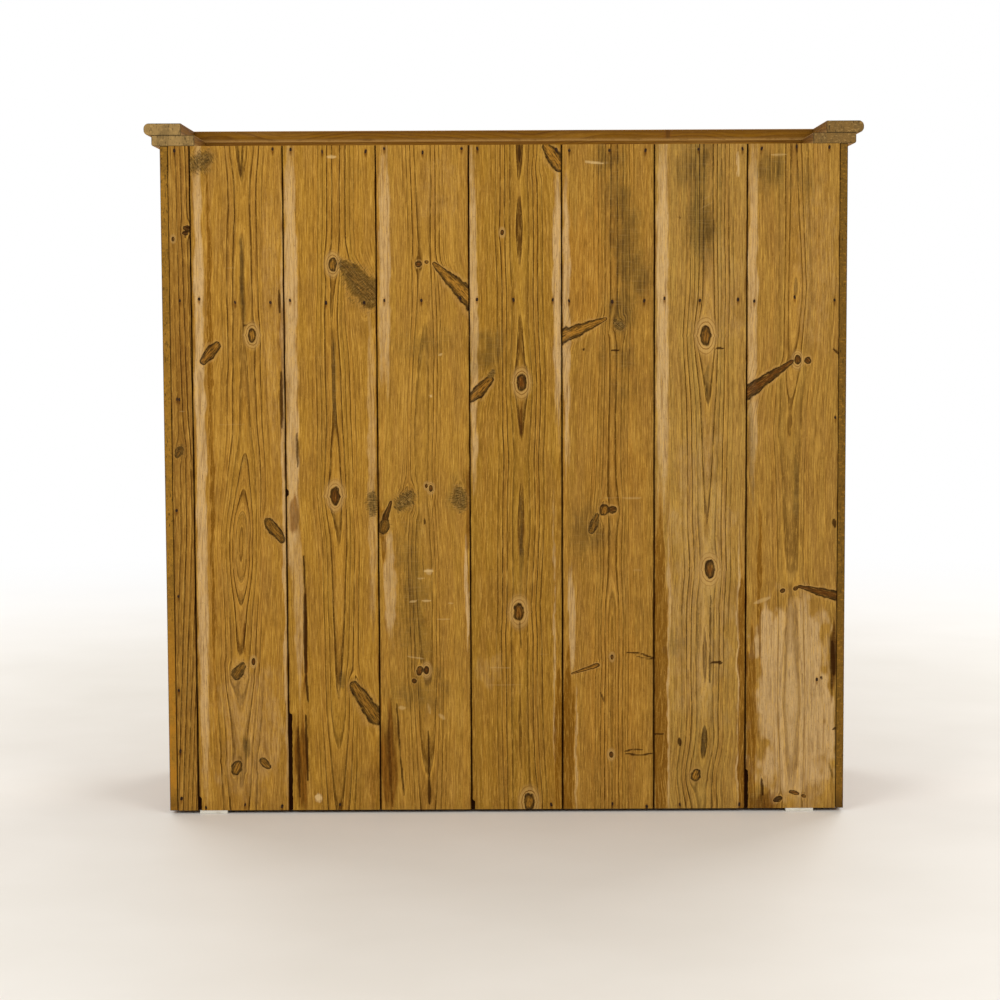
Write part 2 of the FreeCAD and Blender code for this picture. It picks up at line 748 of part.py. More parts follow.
def frame_rail(name, face, reach, z):
    """A rail of a face frame with its tenons, and the block that both tenons are cut from."""
    blank = block(f"{name}_blank", both(reach), (face, f"{face} + frame_thickness"), z)
    tenon_z = (f"{z[0]} + tenon_shoulder", f"{z[1]} - tenon_shoulder")
    tenon = frame_tenon(f"{name}_tenon", both(f"({reach} + frame_tenon_length)"), face, tenon_z)
    return join(f"{name}_tenoned", [blank, tenon]), tenon


def centre_stile(name, level, tenons):
    """The stile between two doors, with a wider strip on its back that they shut against."""
    half = f"({level.centre} / 2)"
    stop = f"({half} + door_gap + door_stop_lap)"
    corners = [
        (f"-{half}", "0"),
        (half, "0"),
        (half, "frame_thickness"),
        (stop, "frame_thickness"),
        (stop, "frame_thickness + door_stop_thickness"),
        (f"-{stop}", "frame_thickness + door_stop_thickness"),
        (f"-{stop}", "frame_thickness"),
        (f"-{half}", "frame_thickness"),
    ]
    body, _ = padded(f"{name}_section", corners, f"{level.head} - {level.foot}")
    place(body, y=level.face, z=level.foot)
    return join(f"{name}_tenoned", [body, *tenons])


def upright_tenon(name, level, z):
    """A tenon on the end of a centre stile or muntin."""
    return frame_tenon(name, both(f"({level.centre} / 2 - tenon_shoulder)"), level.face, z)


def button_place(level):
    """The height of a level's turn button and the plane of its outer face."""
    height = f"({middle_of(level)} + {level.name}_button_rise)"
    return height, f"({level.face} - button_play - button_thickness)"


def screw(level):
    """The screw that a turn button swings on: a head that clears the button, and a shank in the stile."""
    height, outer = button_place(level)
    head_front = f"({outer} - button_play - screw_head_height)"
    head_y = (head_front, f"{head_front} + screw_head_height")
    shank_y = (head_front, f"{level.face} + screw_grip")
    head = peg(f"{level.name}_screw_head", "screw_head_radius", "0", head_y, height)
    shank = peg(f"{level.name}_screw_shank", "screw_radius", "0", shank_y, height)
    return join(f"{level.name}_screw", [shank, head])


def screw_hole(level):
    """The hole in a centre stile for the screw."""
    height, _ = button_place(level)
    y = (level.face, f"{level.face} + screw_grip")
    return peg(f"{level.name}_screw_hole", "screw_radius", "0", y, height)


lower, upper = LEVELS
keep(group("button_screws", [screw(level) for level in LEVELS]), "turn_button_screws")

bottom_rail, bottom_tenon = frame_rail("bottom_rail", BASE_FACE, BASE_OPENING, (FOOT, SILL))
head_rail, head_tenon = frame_rail("head_rail", UPPER_FACE, UPPER_OPENING, (UPPER_HEAD, CASE_TOP))

# The drawer rail lies flat: deeper than the frame, with tenons only as deep as the stiles.
drawer_rail_blank = block(
    "drawer_rail_blank",
    both(BASE_OPENING),
    (BASE_FACE, f"{BASE_FACE} + drawer_rail_depth"),
    (DOOR_HEAD, DRAWER_FLOOR),
)
drawer_rail_tenon = frame_tenon(
    "drawer_rail_tenon",
    both(f"({BASE_OPENING} + frame_tenon_length)"),
    BASE_FACE,
    (f"{DOOR_HEAD} + tenon_shoulder", f"{DRAWER_FLOOR} - tenon_shoulder"),
)
drawer_rail = join("drawer_rail_tenoned", [drawer_rail_blank, drawer_rail_tenon])

# Uprights are tenoned into the rails. The tenons in the drawer rail meet halfway through it.
sill_tenon = upright_tenon("sill_tenon", lower, (f"{SILL} - frame_tenon_length", SILL))
under_tenon = upright_tenon("under_tenon", lower, (DOOR_HEAD, f"{DOOR_HEAD} + drawer_rail_height / 2"))
over_tenon = upright_tenon("over_tenon", lower, (f"{DRAWER_FLOOR} - drawer_rail_height / 2", DRAWER_FLOOR))
upper_tenon = upright_tenon("upper_tenon", upper, (UPPER_HEAD, f"{UPPER_HEAD} + frame_tenon_length"))

keep(cut("bottom_rail_mortised", bottom_rail, [sill_tenon]), "base_bottom_rail")
keep(cut("drawer_rail_mortised", drawer_rail, [under_tenon, over_tenon]), "drawer_rail")
keep(cut("head_rail_mortised", head_rail, [upper_tenon]), "upper_head_rail")
base_centre = centre_stile("base_centre", lower, [under_tenon, sill_tenon])
keep(cut("base_centre_drilled", base_centre, [screw_hole(lower)]), "base_centre_stile")
upper_centre = centre_stile("upper_centre", upper, [upper_tenon])
keep(cut("upper_centre_drilled", upper_centre, [screw_hole(upper)]), "upper_centre_stile")

muntin_blank = block(
    "muntin_blank",
    both("(base_centre_width / 2)"),
    (BASE_FACE, BASE_INNER),
    (DRAWER_FLOOR, COUNTER_UNDER),
)
keep(join("muntin", [muntin_blank, over_tenon]), "drawer_muntin")

for label, hand in SIDES.items():
    base_blank = block(
        f"base_stile_{label}_blank",
        span(hand, BASE_OPENING, HALF),
        (BASE_FACE, BASE_INNER),
        (FOOT, COUNTER_UNDER),
    )
    base_waste = [bottom_tenon, drawer_rail_tenon, *frame_recesses[("lower", hand)]]
    keep(cut(f"base_stile_{label}_mortised", base_blank, base_waste), f"base_stile_{label}")
    upper_blank = block(
        f"upper_stile_{label}_blank",
        span(hand, UPPER_OPENING, HALF),
        (UPPER_FACE, UPPER_INNER),
        (COUNTER_TOP, CASE_TOP),
    )
    upper_waste = [head_tenon, *frame_recesses[("upper", hand)]]
    keep(cut(f"upper_stile_{label}_mortised", upper_blank, upper_waste), f"upper_stile_{label}")


# ------------------------------------------------------------------------------------ turn buttons


def turn_button(level):
    """A wooden bar with round ends on one screw. It stands upright to free the doors."""
    height, outer = button_place(level)
    y = (outer, f"{outer} + button_thickness")
    radius = "(button_width / 2)"
    straight = f"({level.centre} / 2 + door_gap + button_lap - {radius})"
    ends = (f"({height} - {straight})", f"({height} + {straight})")
    bar = block(f"{level.name}_button_bar", both(radius), y, ends)
    foot, head = [peg(f"{level.name}_button_end_{order}", radius, "0", y, z) for order, z in enumerate(ends)]
    hole = peg(f"{level.name}_button_hole", "screw_radius + screw_play", "0", y, height)
    whole = join(f"{level.name}_button_whole", [bar, foot, head])
    keep(cut(f"{level.name}_button", whole, [hole]), f"turn_button_{level.name}")


for level in LEVELS:
    turn_button(level)

# ----------------------------------------------------------------------------------------- drawers

DRAWER_FOOT = f"({DRAWER_FLOOR} + drawer_ride)"
DRAWER_HEAD = f"({COUNTER_UNDER} - drawer_gap)"
DRAWER_SIDE_HEAD = f"({DRAWER_HEAD} - drawer_side_drop)"
DRAWER_BOTTOM = (
    f"({DRAWER_FOOT} + drawer_bottom_lift)",
    f"({DRAWER_FOOT} + drawer_bottom_lift + drawer_bottom_thickness)",
)
DRAWER_FRONT_BACK = f"({BASE_FACE} + drawer_front_thickness)"
DRAWER_END = f"({BOARDS} - drawer_room)"
DRAWER_INNER = "(base_centre_width / 2 + drawer_gap)"
DRAWER_OUTER = f"({BASE_OPENING} - drawer_gap)"

TAIL_RANGE = f"({DRAWER_SIDE_HEAD} - {DRAWER_BOTTOM[1]})"
tails = max(1, math.floor(number(TAIL_RANGE) / number("tail_pitch")))


TAIL_NARROW = "(tail_width / 2)"
TAIL_WIDE = f"({TAIL_NARROW} + tail_flare)"
SOCKET_END = f"({BASE_FACE} + drawer_lap)"
DRAWER_BACK_FRONT = f"({DRAWER_END} - drawer_back_thickness)"


def dovetails(name, x, y, near, far):
    """The tails on one end of a drawer side. near, far: half of a tail's width at low and high Y."""
    made = []
    for order in range(tails):
        middle = f"({DRAWER_BOTTOM[1]} + {TAIL_RANGE} * ({order} + 1 / 2) / {tails})"
        near_z = (f"{middle} - {near}", f"{middle} + {near}")
        far_z = (f"{middle} - {far}", f"{middle} + {far}")
        made.append(wedge(f"{name}_{order}", x, y, near_z, x, far_z))
    return made


def drawer_side(name, x, bottom):
    """A drawer side grooved for the bottom, with its tails for the front and for the back."""
    board = block(f"{name}_board", x, (DRAWER_FRONT_BACK, DRAWER_BACK_FRONT), (DRAWER_FOOT, DRAWER_SIDE_HEAD))
    lapped = dovetails(f"{name}_front_tail", x, (SOCKET_END, DRAWER_FRONT_BACK), TAIL_WIDE, TAIL_NARROW)
    through = dovetails(f"{name}_back_tail", x, (DRAWER_BACK_FRONT, DRAWER_END), TAIL_NARROW, TAIL_WIDE)
    tailed = join(f"{name}_tailed", [board, *lapped, *through])
    return cut(name, tailed, [bottom]), lapped, through


def drawer(label, hand):
    """A drawer: lapped dovetails in front, through dovetails at the back, its bottom in grooves."""
    name = f"{label}_drawer"
    bottom_x = span(
        hand,
        f"{DRAWER_INNER} + drawer_side_thickness - drawer_groove_depth",
        f"{DRAWER_OUTER} - drawer_side_thickness + drawer_groove_depth",
    )
    bottom_y = (f"{DRAWER_FRONT_BACK} - drawer_groove_depth", DRAWER_END)
    bottom = block(f"{name}_panel", bottom_x, bottom_y, DRAWER_BOTTOM)

    inner_x = span(hand, DRAWER_INNER, f"{DRAWER_INNER} + drawer_side_thickness")
    outer_x = span(hand, f"{DRAWER_OUTER} - drawer_side_thickness", DRAWER_OUTER)
    inner_side, inner_lapped, inner_through = drawer_side(f"{name}_inner_side", inner_x, bottom)
    outer_side, outer_lapped, outer_through = drawer_side(f"{name}_outer_side", outer_x, bottom)

    whole_x = span(hand, DRAWER_INNER, DRAWER_OUTER)
    back_z = (DRAWER_BOTTOM[1], DRAWER_SIDE_HEAD)
    back_blank = block(f"{name}_back_blank", whole_x, (DRAWER_BACK_FRONT, DRAWER_END), back_z)
    back = cut(f"{name}_back", back_blank, inner_through + outer_through)

    knob_x = at(hand, f"(({DRAWER_INNER} + {DRAWER_OUTER}) / 2)")
    knob_z = f"(({DRAWER_FOOT} + {DRAWER_HEAD}) / 2)"
    hole = knob_hole(f"{name}_hole", knob_x, BASE_FACE, knob_z)
    front_y = (BASE_FACE, DRAWER_FRONT_BACK)
    front_blank = block(f"{name}_front_blank", whole_x, front_y, (DRAWER_FOOT, DRAWER_HEAD))
    front = cut(f"{name}_front", front_blank, [*inner_lapped, *outer_lapped, bottom, hole])

    keep(front, f"{name}_front")
    keep(group(f"{name}_carcass", [inner_side, outer_side, back]), f"{name}_sides_and_back")
    keep(bottom, f"{name}_bottom")
    keep(knob(f"{name}_turned_knob", knob_x, BASE_FACE, knob_z), f"{name}_knob")


for label, hand in SIDES.items():
    drawer(label, hand)

# ------------------------------------------------------------------ inside: bearers and the shelf

RUNNER_Y = (f"{BASE_FACE} + drawer_rail_depth", BOARDS)
RUNNER_Z = (f"{DRAWER_FLOOR} - runner_height", DRAWER_FLOOR)
GUIDE_Z = (DRAWER_FLOOR, f"{DRAWER_FLOOR} + guide_height")
bearers = [
    block("centre_runner", both("(base_centre_width / 2 + runner_reach)"), RUNNER_Y, RUNNER_Z),
    block("centre_guide", both("(base_centre_width / 2)"), RUNNER_Y, GUIDE_Z),
    block(
        "centre_hanger",
        both("(base_centre_width / 2)"),
        (f"{BOARDS} - hanger_depth", BOARDS),
        (GUIDE_Z[1], COUNTER_UNDER),
    ),
]
for label, hand in SIDES.items():
    runner_x = span(hand, f"{BASE_OPENING} - runner_reach", INSIDE)
    bearers.append(block(f"{label}_runner", runner_x, RUNNER_Y, RUNNER_Z))
    bearers.append(block(f"{label}_guide", span(hand, BASE_OPENING, INSIDE), RUNNER_Y, GUIDE_Z))
keep(group("bearers", bearers), "drawer_runners")

STOP_FRONT = f"({DRAWER_FRONT_BACK} + stop_play)"
STOP_PLACES = {
    "inner": f"({DRAWER_INNER} + stop_inset)",
    "outer": f"({DRAWER_OUTER} - stop_inset)",
}
stops = [
    block(
        f"{label}_{part}_stop",
        span(hand, f"{middle} - stop_length / 2", f"{middle} + stop_length / 2"),
        (STOP_FRONT, f"{STOP_FRONT} + stop_depth"),
        (DRAWER_FLOOR, f"{DRAWER_FLOOR} + stop_height"),
    )
    for label, hand in SIDES.items()
    for part, middle in STOP_PLACES.items()
]
keep(group("stops", stops), "drawer_stops")

SHELF_Y = (f"{BASE_INNER} + door_stop_thickness + shelf_setback", BOARDS)
shelf_z = (SHELF_UNDER, f"{SHELF_UNDER} + shelf_thickness")
keep(block("loose_shelf", both(f"({INSIDE} - shelf_play)"), SHELF_Y, shelf_z), "shelf")
cleats = [
    block(
        f"{label}_cleat",
        span(hand, f"{INSIDE} - cleat_width", INSIDE),
        SHELF_Y,
        (f"{SHELF_UNDER} - cleat_height", SHELF_UNDER),
    )
    for label, hand in SIDES.items()
]
keep(group("cleats", cleats), "shelf_cleats")

# --------------------------------------------------------------------------- checks and the files

doc.recompute()
for piece in doc.Objects:
    if {"Invalid", "Error"} & set(piece.State):
        raise RuntimeError(f"{piece.Label} failed: {piece.State}")
for piece in kept:
    if piece.Shape.isNull() or not piece.Shape.isValid():
        raise RuntimeError(f"{piece.Label} has no valid shape")

os.makedirs("parts", exist_ok=True)
for piece in kept:
    piece.Shape.exportStep(f"parts/{piece.Label}.step")
print(f"{len(kept)} sub-parts written")
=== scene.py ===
# %% [markdown]
# # A pine step back cupboard, seen from its matchboard back
#
# The cupboard is an assembly of boards. The frame brings in every solid of the part, each on the
# body that it moves with. This script dresses them: the eight back boards are made again with
# uneven edges and a growth-ring pattern of their own, the other boards get softened arrises, the
# knobs are turned with a smooth outline, and nails and screws are added.
#
# Lengths are in metres, as the frame has them. Sizes that a joiner would give in millimetres are
# written in millimetres and multiplied by `MM`.

# %% Open the frame
import json
import math
from collections import namedtuple
from types import SimpleNamespace

import bmesh
import bpy
import numpy as np
from mathutils import Matrix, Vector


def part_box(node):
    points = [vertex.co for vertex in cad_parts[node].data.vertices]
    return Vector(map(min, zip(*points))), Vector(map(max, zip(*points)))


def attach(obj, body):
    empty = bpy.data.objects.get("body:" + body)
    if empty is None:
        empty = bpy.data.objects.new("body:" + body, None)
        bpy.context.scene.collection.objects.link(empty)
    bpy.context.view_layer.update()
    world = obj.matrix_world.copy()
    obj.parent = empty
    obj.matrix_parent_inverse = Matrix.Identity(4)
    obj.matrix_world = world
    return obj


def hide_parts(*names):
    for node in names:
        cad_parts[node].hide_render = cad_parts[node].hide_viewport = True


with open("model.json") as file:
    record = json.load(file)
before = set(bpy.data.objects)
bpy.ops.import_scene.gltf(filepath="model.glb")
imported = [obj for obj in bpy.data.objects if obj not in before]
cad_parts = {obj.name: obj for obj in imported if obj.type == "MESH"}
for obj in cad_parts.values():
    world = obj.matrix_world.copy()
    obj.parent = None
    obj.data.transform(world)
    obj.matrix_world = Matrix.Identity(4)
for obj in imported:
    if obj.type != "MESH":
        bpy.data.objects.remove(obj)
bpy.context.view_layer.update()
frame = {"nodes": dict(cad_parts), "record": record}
MM = 0.001

# %% [markdown]
# ## The camera
#
# A camera needs a place, a direction and a lens. This one stands 4.3 m behind the cupboard at the
# height of a tripod, looks very slightly down, and leans a quarter of a degree. The three turns
# are multiplied in order: face the back, tip down, then lean.

# %% Camera
CAMERA_PLACE = (0.0095, 4.294, 0.894)
CAMERA_TIP = math.radians(4.58)
CAMERA_LEAN = math.radians(-0.25)

lens = bpy.data.cameras.new("camera")
lens.lens = 81.8
lens.sensor_width = 36
lens.clip_end = 100
camera = bpy.data.objects.new("camera", lens)
bpy.context.scene.collection.objects.link(camera)
camera.matrix_world = (
    Matrix.Translation(CAMERA_PLACE)
    @ Matrix.Rotation(math.pi, 4, "Z")
    @ Matrix.Rotation(math.pi / 2 - CAMERA_TIP, 4, "X")
    @ Matrix.Rotation(CAMERA_LEAN, 4, "Z")
)
bpy.context.scene.camera = camera
bpy.context.scene.view_settings.view_transform = "Standard"
print("camera at", CAMERA_PLACE)

# %% [markdown]
# ## A short way to write a finish
#
# A material in Blender is a tree of nodes. Written out, each node takes four or five lines, so
# `Finish` gives each common node one short call that returns its output. A value that is a socket
# is linked, and any other value is set on the node.


# %% Finish
class Finish:
    """A tree of nodes for one material, or for another owner such as the surroundings.

    Each method adds the nodes for one step and returns the output that carries its result.
    """

    def __init__(self, name, owner=None):
        """Starts with an empty tree, on a new material unless an owner is given."""
        self.owner = owner or bpy.data.materials.new(name)
        self.owner.use_nodes = True
        self.tree = self.owner.node_tree
        self.tree.nodes.clear()

    def node(self, kind, inputs, **settings):
        """Adds a node, sets its properties, then links or sets its inputs."""
        made = self.tree.nodes.new(kind)
        for name, value in settings.items():
            setattr(made, name, value)
        for name, value in inputs.items():
            if isinstance(value, bpy.types.NodeSocket):
                self.tree.links.new(value, made.inputs[name])
            else:
                made.inputs[name].default_value = value
        return made

    def math(self, operation, a, b=0.0):
        """One operation on two numbers."""
        return self.node("ShaderNodeMath", {0: a, 1: b}, operation=operation).outputs[0]

    def plus(self, first, *others):
        """The sum of two or more numbers."""
        for other in others:
            first = self.math("ADD", first, other)
        return first

    def times(self, first, *others):
        """The product of two or more numbers."""
        for other in others:
            first = self.math("MULTIPLY", first, other)
        return first

    def minus(self, a, b):
        """The difference of two numbers."""
        return self.math("SUBTRACT", a, b)

    def ease(self, value, low, high, start=0.0, end=1.0):
        """Goes smoothly from start to end while the value goes from low to high."""
        inputs = {"Value": value, "From Min": low, "From Max": high, "To Min": start, "To Max": end}
        return self.node("ShaderNodeMapRange", inputs, interpolation_type="SMOOTHSTEP").outputs[0]

    def hill(self, value, foot, top, edge, end):
        """Climbs from 0 to 1 between foot and top, and falls back to 0 between edge and end."""
        return self.times(self.ease(value, foot, top), self.ease(value, edge, end, 1.0, 0.0))

    def zigzag(self, value):
        """Goes up from 0 to a half and down again, over and over, as the value grows."""
        return self.math("PINGPONG", value, 0.5)

    def mix(self, amount, a, b, blend="MIX"):
        """Colour a, turned into b by the amount."""
        inputs = {0: amount, 6: a, 7: b}
        return self.node("ShaderNodeMix", inputs, data_type="RGBA", blend_type=blend).outputs[2]

    def over(self, colour, *layers):
        """Lays colours over the first one, in turn. Each layer is an amount from 0 to 1 and a colour."""
        for amount, tint in layers:
            colour = self.mix(amount, colour, tint)
        return colour

    def ramp(self, value, stops):
        """Colours at the given places, blended between them."""
        made = self.node("ShaderNodeValToRGB", {0: value})
        line = made.color_ramp.elements
        while len(line) < len(stops):
            line.new(0.5)
        for element, (place, colour) in zip(line, stops):
            element.position = place
            element.color = colour
        return made.outputs[0]

    def shades(self, value, stops):
        """A ramp of greys, each stop a place and a brightness."""
        return self.ramp(value, [(place, (shade, shade, shade, 1.0)) for place, shade in stops])

    def noise(self, place, scale=1.0, detail=2.0, roughness=0.5):
        """Smooth chance from 0 to 1, with so many cells to the metre."""
        inputs = {"Vector": place, "Scale": scale, "Detail": detail, "Roughness": roughness}
        return self.node("ShaderNodeTexNoise", inputs).outputs[0]

    def grains(self, place, size, detail=3.0, roughness=0.6):
        """Smooth chance from 0 to 1 whose cells have the given size along x, y and z."""
        return self.noise(self.stretch(place, size), 1.0, detail, roughness)

    def about(self, chance, height):
        """A chance from 0 to 1 turned into a number about nought, of the given height in all."""
        return self.times(self.minus(chance, 0.5), height)

    def vector(self, operation, a, b=None):
        """One operation on one or two vectors."""
        inputs = {0: a} if b is None else {0: a, 1: b}
        return self.node("ShaderNodeVectorMath", inputs, operation=operation).outputs[0]

    def stretch(self, place, size):
        """The place counted in units of the given size along its three axes."""
        return self.vector("MULTIPLY", place, tuple(1 / side for side in size))

    def parts(self, vector):
        """The three numbers of a vector."""
        return self.node("ShaderNodeSeparateXYZ", {0: vector}).outputs

    def hues(self, colour):
        """The red, green and blue of a colour."""
        return self.node("ShaderNodeSeparateColor", {0: colour}).outputs

    def joined(self, x, y, z):
        """A vector of three numbers."""
        return self.node("ShaderNodeCombineXYZ", {0: x, 1: y, 2: z}).outputs[0]

    def attribute(self, name):
        """Values that the mesh's points carry: as a colour, a vector, a number, and the colour's alpha."""
        return self.node("ShaderNodeAttribute", {}, attribute_name=name).outputs

    def object_place(self):
        """The place in metres, in the object's own axes."""
        return self.node("ShaderNodeTexCoord", {}).outputs["Object"]

    def shine(self, colour, roughness, height, depth, **sockets):
        """The surface itself: its colour, its roughness, and its relief, which is depth metres."""
        bump = self.node("ShaderNodeBump", {"Height": height, "Distance": depth, "Strength": 1.0})
        inputs = {"Base Color": colour, "Roughness": roughness, "Normal": bump.outputs[0]}
        inputs.update({name.replace("_", " "): value for name, value in sockets.items()})
        shader = self.node("ShaderNodeBsdfPrincipled", inputs)
        self.node("ShaderNodeOutputMaterial", {0: shader.outputs[0]})
        return self.owner


def paint(red, green, blue):
    """A colour as a paint chart gives it, 0 to 255, turned into the light that Blender counts in."""
    chart = np.array([red, green, blue]) / 255
    light = np.where(chart <= 0.04045, chart / 12.92, ((chart + 0.055) / 1.055) ** 2.4)
    return (*light.tolist(), 1.0)


WHITE = (1.0, 1.0, 1.0, 1.0)
print("middle grey paint gives back", round(paint(128, 128, 128)[0], 3), "of the light")

# %% [markdown]
# ## Floor and light
#
# A plain pale floor runs out of sight, so no edge of it shows from any side. Close to the
# cupboard it is ordinary matt paint. Further out it turns into an even white glow, which is how a
# studio's curved backdrop looks, and which meets the white surroundings without a line.

# %% Floor
FLOOR_HALF = 40.0
MATT_TO, GLOW_FROM = 1.3, 4.5

floor_mesh = bpy.data.meshes.new("floor")
floor_corners = [(x * FLOOR_HALF, y * FLOOR_HALF, 0.0) for x, y in ((-1, -1), (1, -1), (1, 1), (-1, 1))]
floor_mesh.from_pydata(floor_corners, [], [(0, 1, 2, 3)])
floor = bpy.data.objects.new("floor", floor_mesh)
bpy.context.scene.collection.objects.link(floor)

ground = Finish("studio_floor")
ground_place = ground.object_place()
distance = ground.node("ShaderNodeVectorMath", {0: ground_place}, operation="LENGTH").outputs["Value"]
mottle = ground.noise(ground_place, 3.0, 3.0)
floor_colour = ground.mix(mottle, paint(222, 216, 206), paint(234, 229, 221))
matt = ground.node("ShaderNodeBsdfPrincipled", {"Base Color": floor_colour, "Roughness": 0.55})
glow = ground.node("ShaderNodeEmission", {"Color": WHITE, "Strength": 1.0})
far = ground.ease(distance, MATT_TO, GLOW_FROM)
both = ground.node("ShaderNodeMixShader", {0: far, 1: matt.outputs[0], 2: glow.outputs[0]})
ground.node("ShaderNodeOutputMaterial", {0: both.outputs[0]})
floor_mesh.materials.append(ground.owner)
print("floor", 2 * FLOOR_HALF, "m square, matt to", MATT_TO, "m from the cupboard")

# %% [markdown]
# Soft light has no hard shadows because it comes from a large area. Two wide panels stand behind
# the cupboard, one on each side of the camera, and two weaker ones in front of it. The white
# surroundings fill the shadows. What the camera sees of the surroundings is plain white, and what
# they light the cupboard with is a little weaker and warmer.

# %% Lights
AIM = (0.0, 0.0, 0.62)


def soft_panel(name, place, size, power):
    """A square light of the given size in metres, turned towards the middle of the cupboard."""
    panel = bpy.data.lights.new(name, "AREA")
    panel.shape = "SQUARE"
    panel.size = size
    panel.energy = power
    made = bpy.data.objects.new(name, panel)
    bpy.context.scene.collection.objects.link(made)
    made.location = place
    away = made.location.copy()
    away.x, away.y, away.z = (place[i] - AIM[i] for i in range(3))
    made.rotation_euler = away.to_track_quat("Z", "Y").to_euler()
    return made


soft_panel("panel_back_left", (2.7, 3.6, 2.5), 2.2, 84)
soft_panel("panel_back_right", (-2.7, 3.6, 2.5), 2.2, 70)
soft_panel("panel_front_left", (-2.6, -3.6, 2.6), 2.4, 84)
soft_panel("panel_front_right", (2.8, -3.4, 2.2), 2.4, 62)

sky = Finish("surroundings", bpy.data.worlds.new("surroundings"))
bpy.context.scene.world = sky.owner
seen = sky.node("ShaderNodeBackground", {"Color": WHITE, "Strength": 1.0})
lit = sky.node("ShaderNodeBackground", {"Color": (1.0, 0.985, 0.96, 1.0), "Strength": 0.6})
ray = sky.node("ShaderNodeLightPath", {}).outputs["Is Camera Ray"]
choice = sky.node("ShaderNodeMixShader", {0: ray, 1: lit.outputs[0], 2: seen.outputs[0]})
sky.node("ShaderNodeOutputWorld", {0: choice.outputs[0]})
print("four soft panels in white surroundings")

# %% [markdown]
# ## Where the back boards stand
#
# The back is of tongued and grooved boards, numbered from the left as the back is seen. The first
# was ripped to fit and is narrow. A board's tongue points to the next one, into its groove. The
# boards' places come from the frame; the depths of tongue and groove are the joiner's.

# %% Back board sizes
BOARD_COUNT = 8
TONGUE_OUT = 8.4 * MM
TONGUE_INNER, TONGUE_OUTER = 220.5 * MM, 225.5 * MM
GROOVE_INNER, GROOVE_OUTER = 220.4 * MM, 225.6 * MM
GROOVE_DEEP = 7 * MM
BACK_FACE = 230.9 * MM
INNER_FACE = 215 * MM

Strip = namedtuple("Strip", "order left right foot head")


def back_strip(order):
    """The face of a back board: its left and right edge as x, and its ends as z."""
    low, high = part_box(f"back_board_{order}")
    tongue = TONGUE_OUT if order < BOARD_COUNT else 0.0
    return Strip(order, high.x, low.x + tongue, low.z, high.z)


STRIPS = [back_strip(order) for order in range(1, BOARD_COUNT + 1)]
for strip in STRIPS:
    print("board", strip.order, "face", round((strip.left - strip.right) / MM, 1), "mm wide")

# %% [markdown]
# ## Growth rings
#
# Wood grain is the pattern that a saw leaves where it cuts through the rings of a trunk. A board
# cut near the middle of a pine shows long nested arches. They could be painted by hand, or taken
# from a picture. Here they are worked out as the tree made them. For a point at distance `across`
# from the line of the pith, with the pith `depth` rings under the face, the number of rings
# between the point and the pith is
#
#     rings = square root of ((across / ring width)² + depth²)
#
# and each whole number is one ring's dark line. An arch has its tip where `depth` passes a whole
# number, so a short list of depths up the board draws its arches. The lists below say for each
# board where the pith runs and how deep it lies, as (height, value) in millimetres and in rings.

# %% Pith and ring lists
Rings = namedtuple("Rings", "width pith depth")

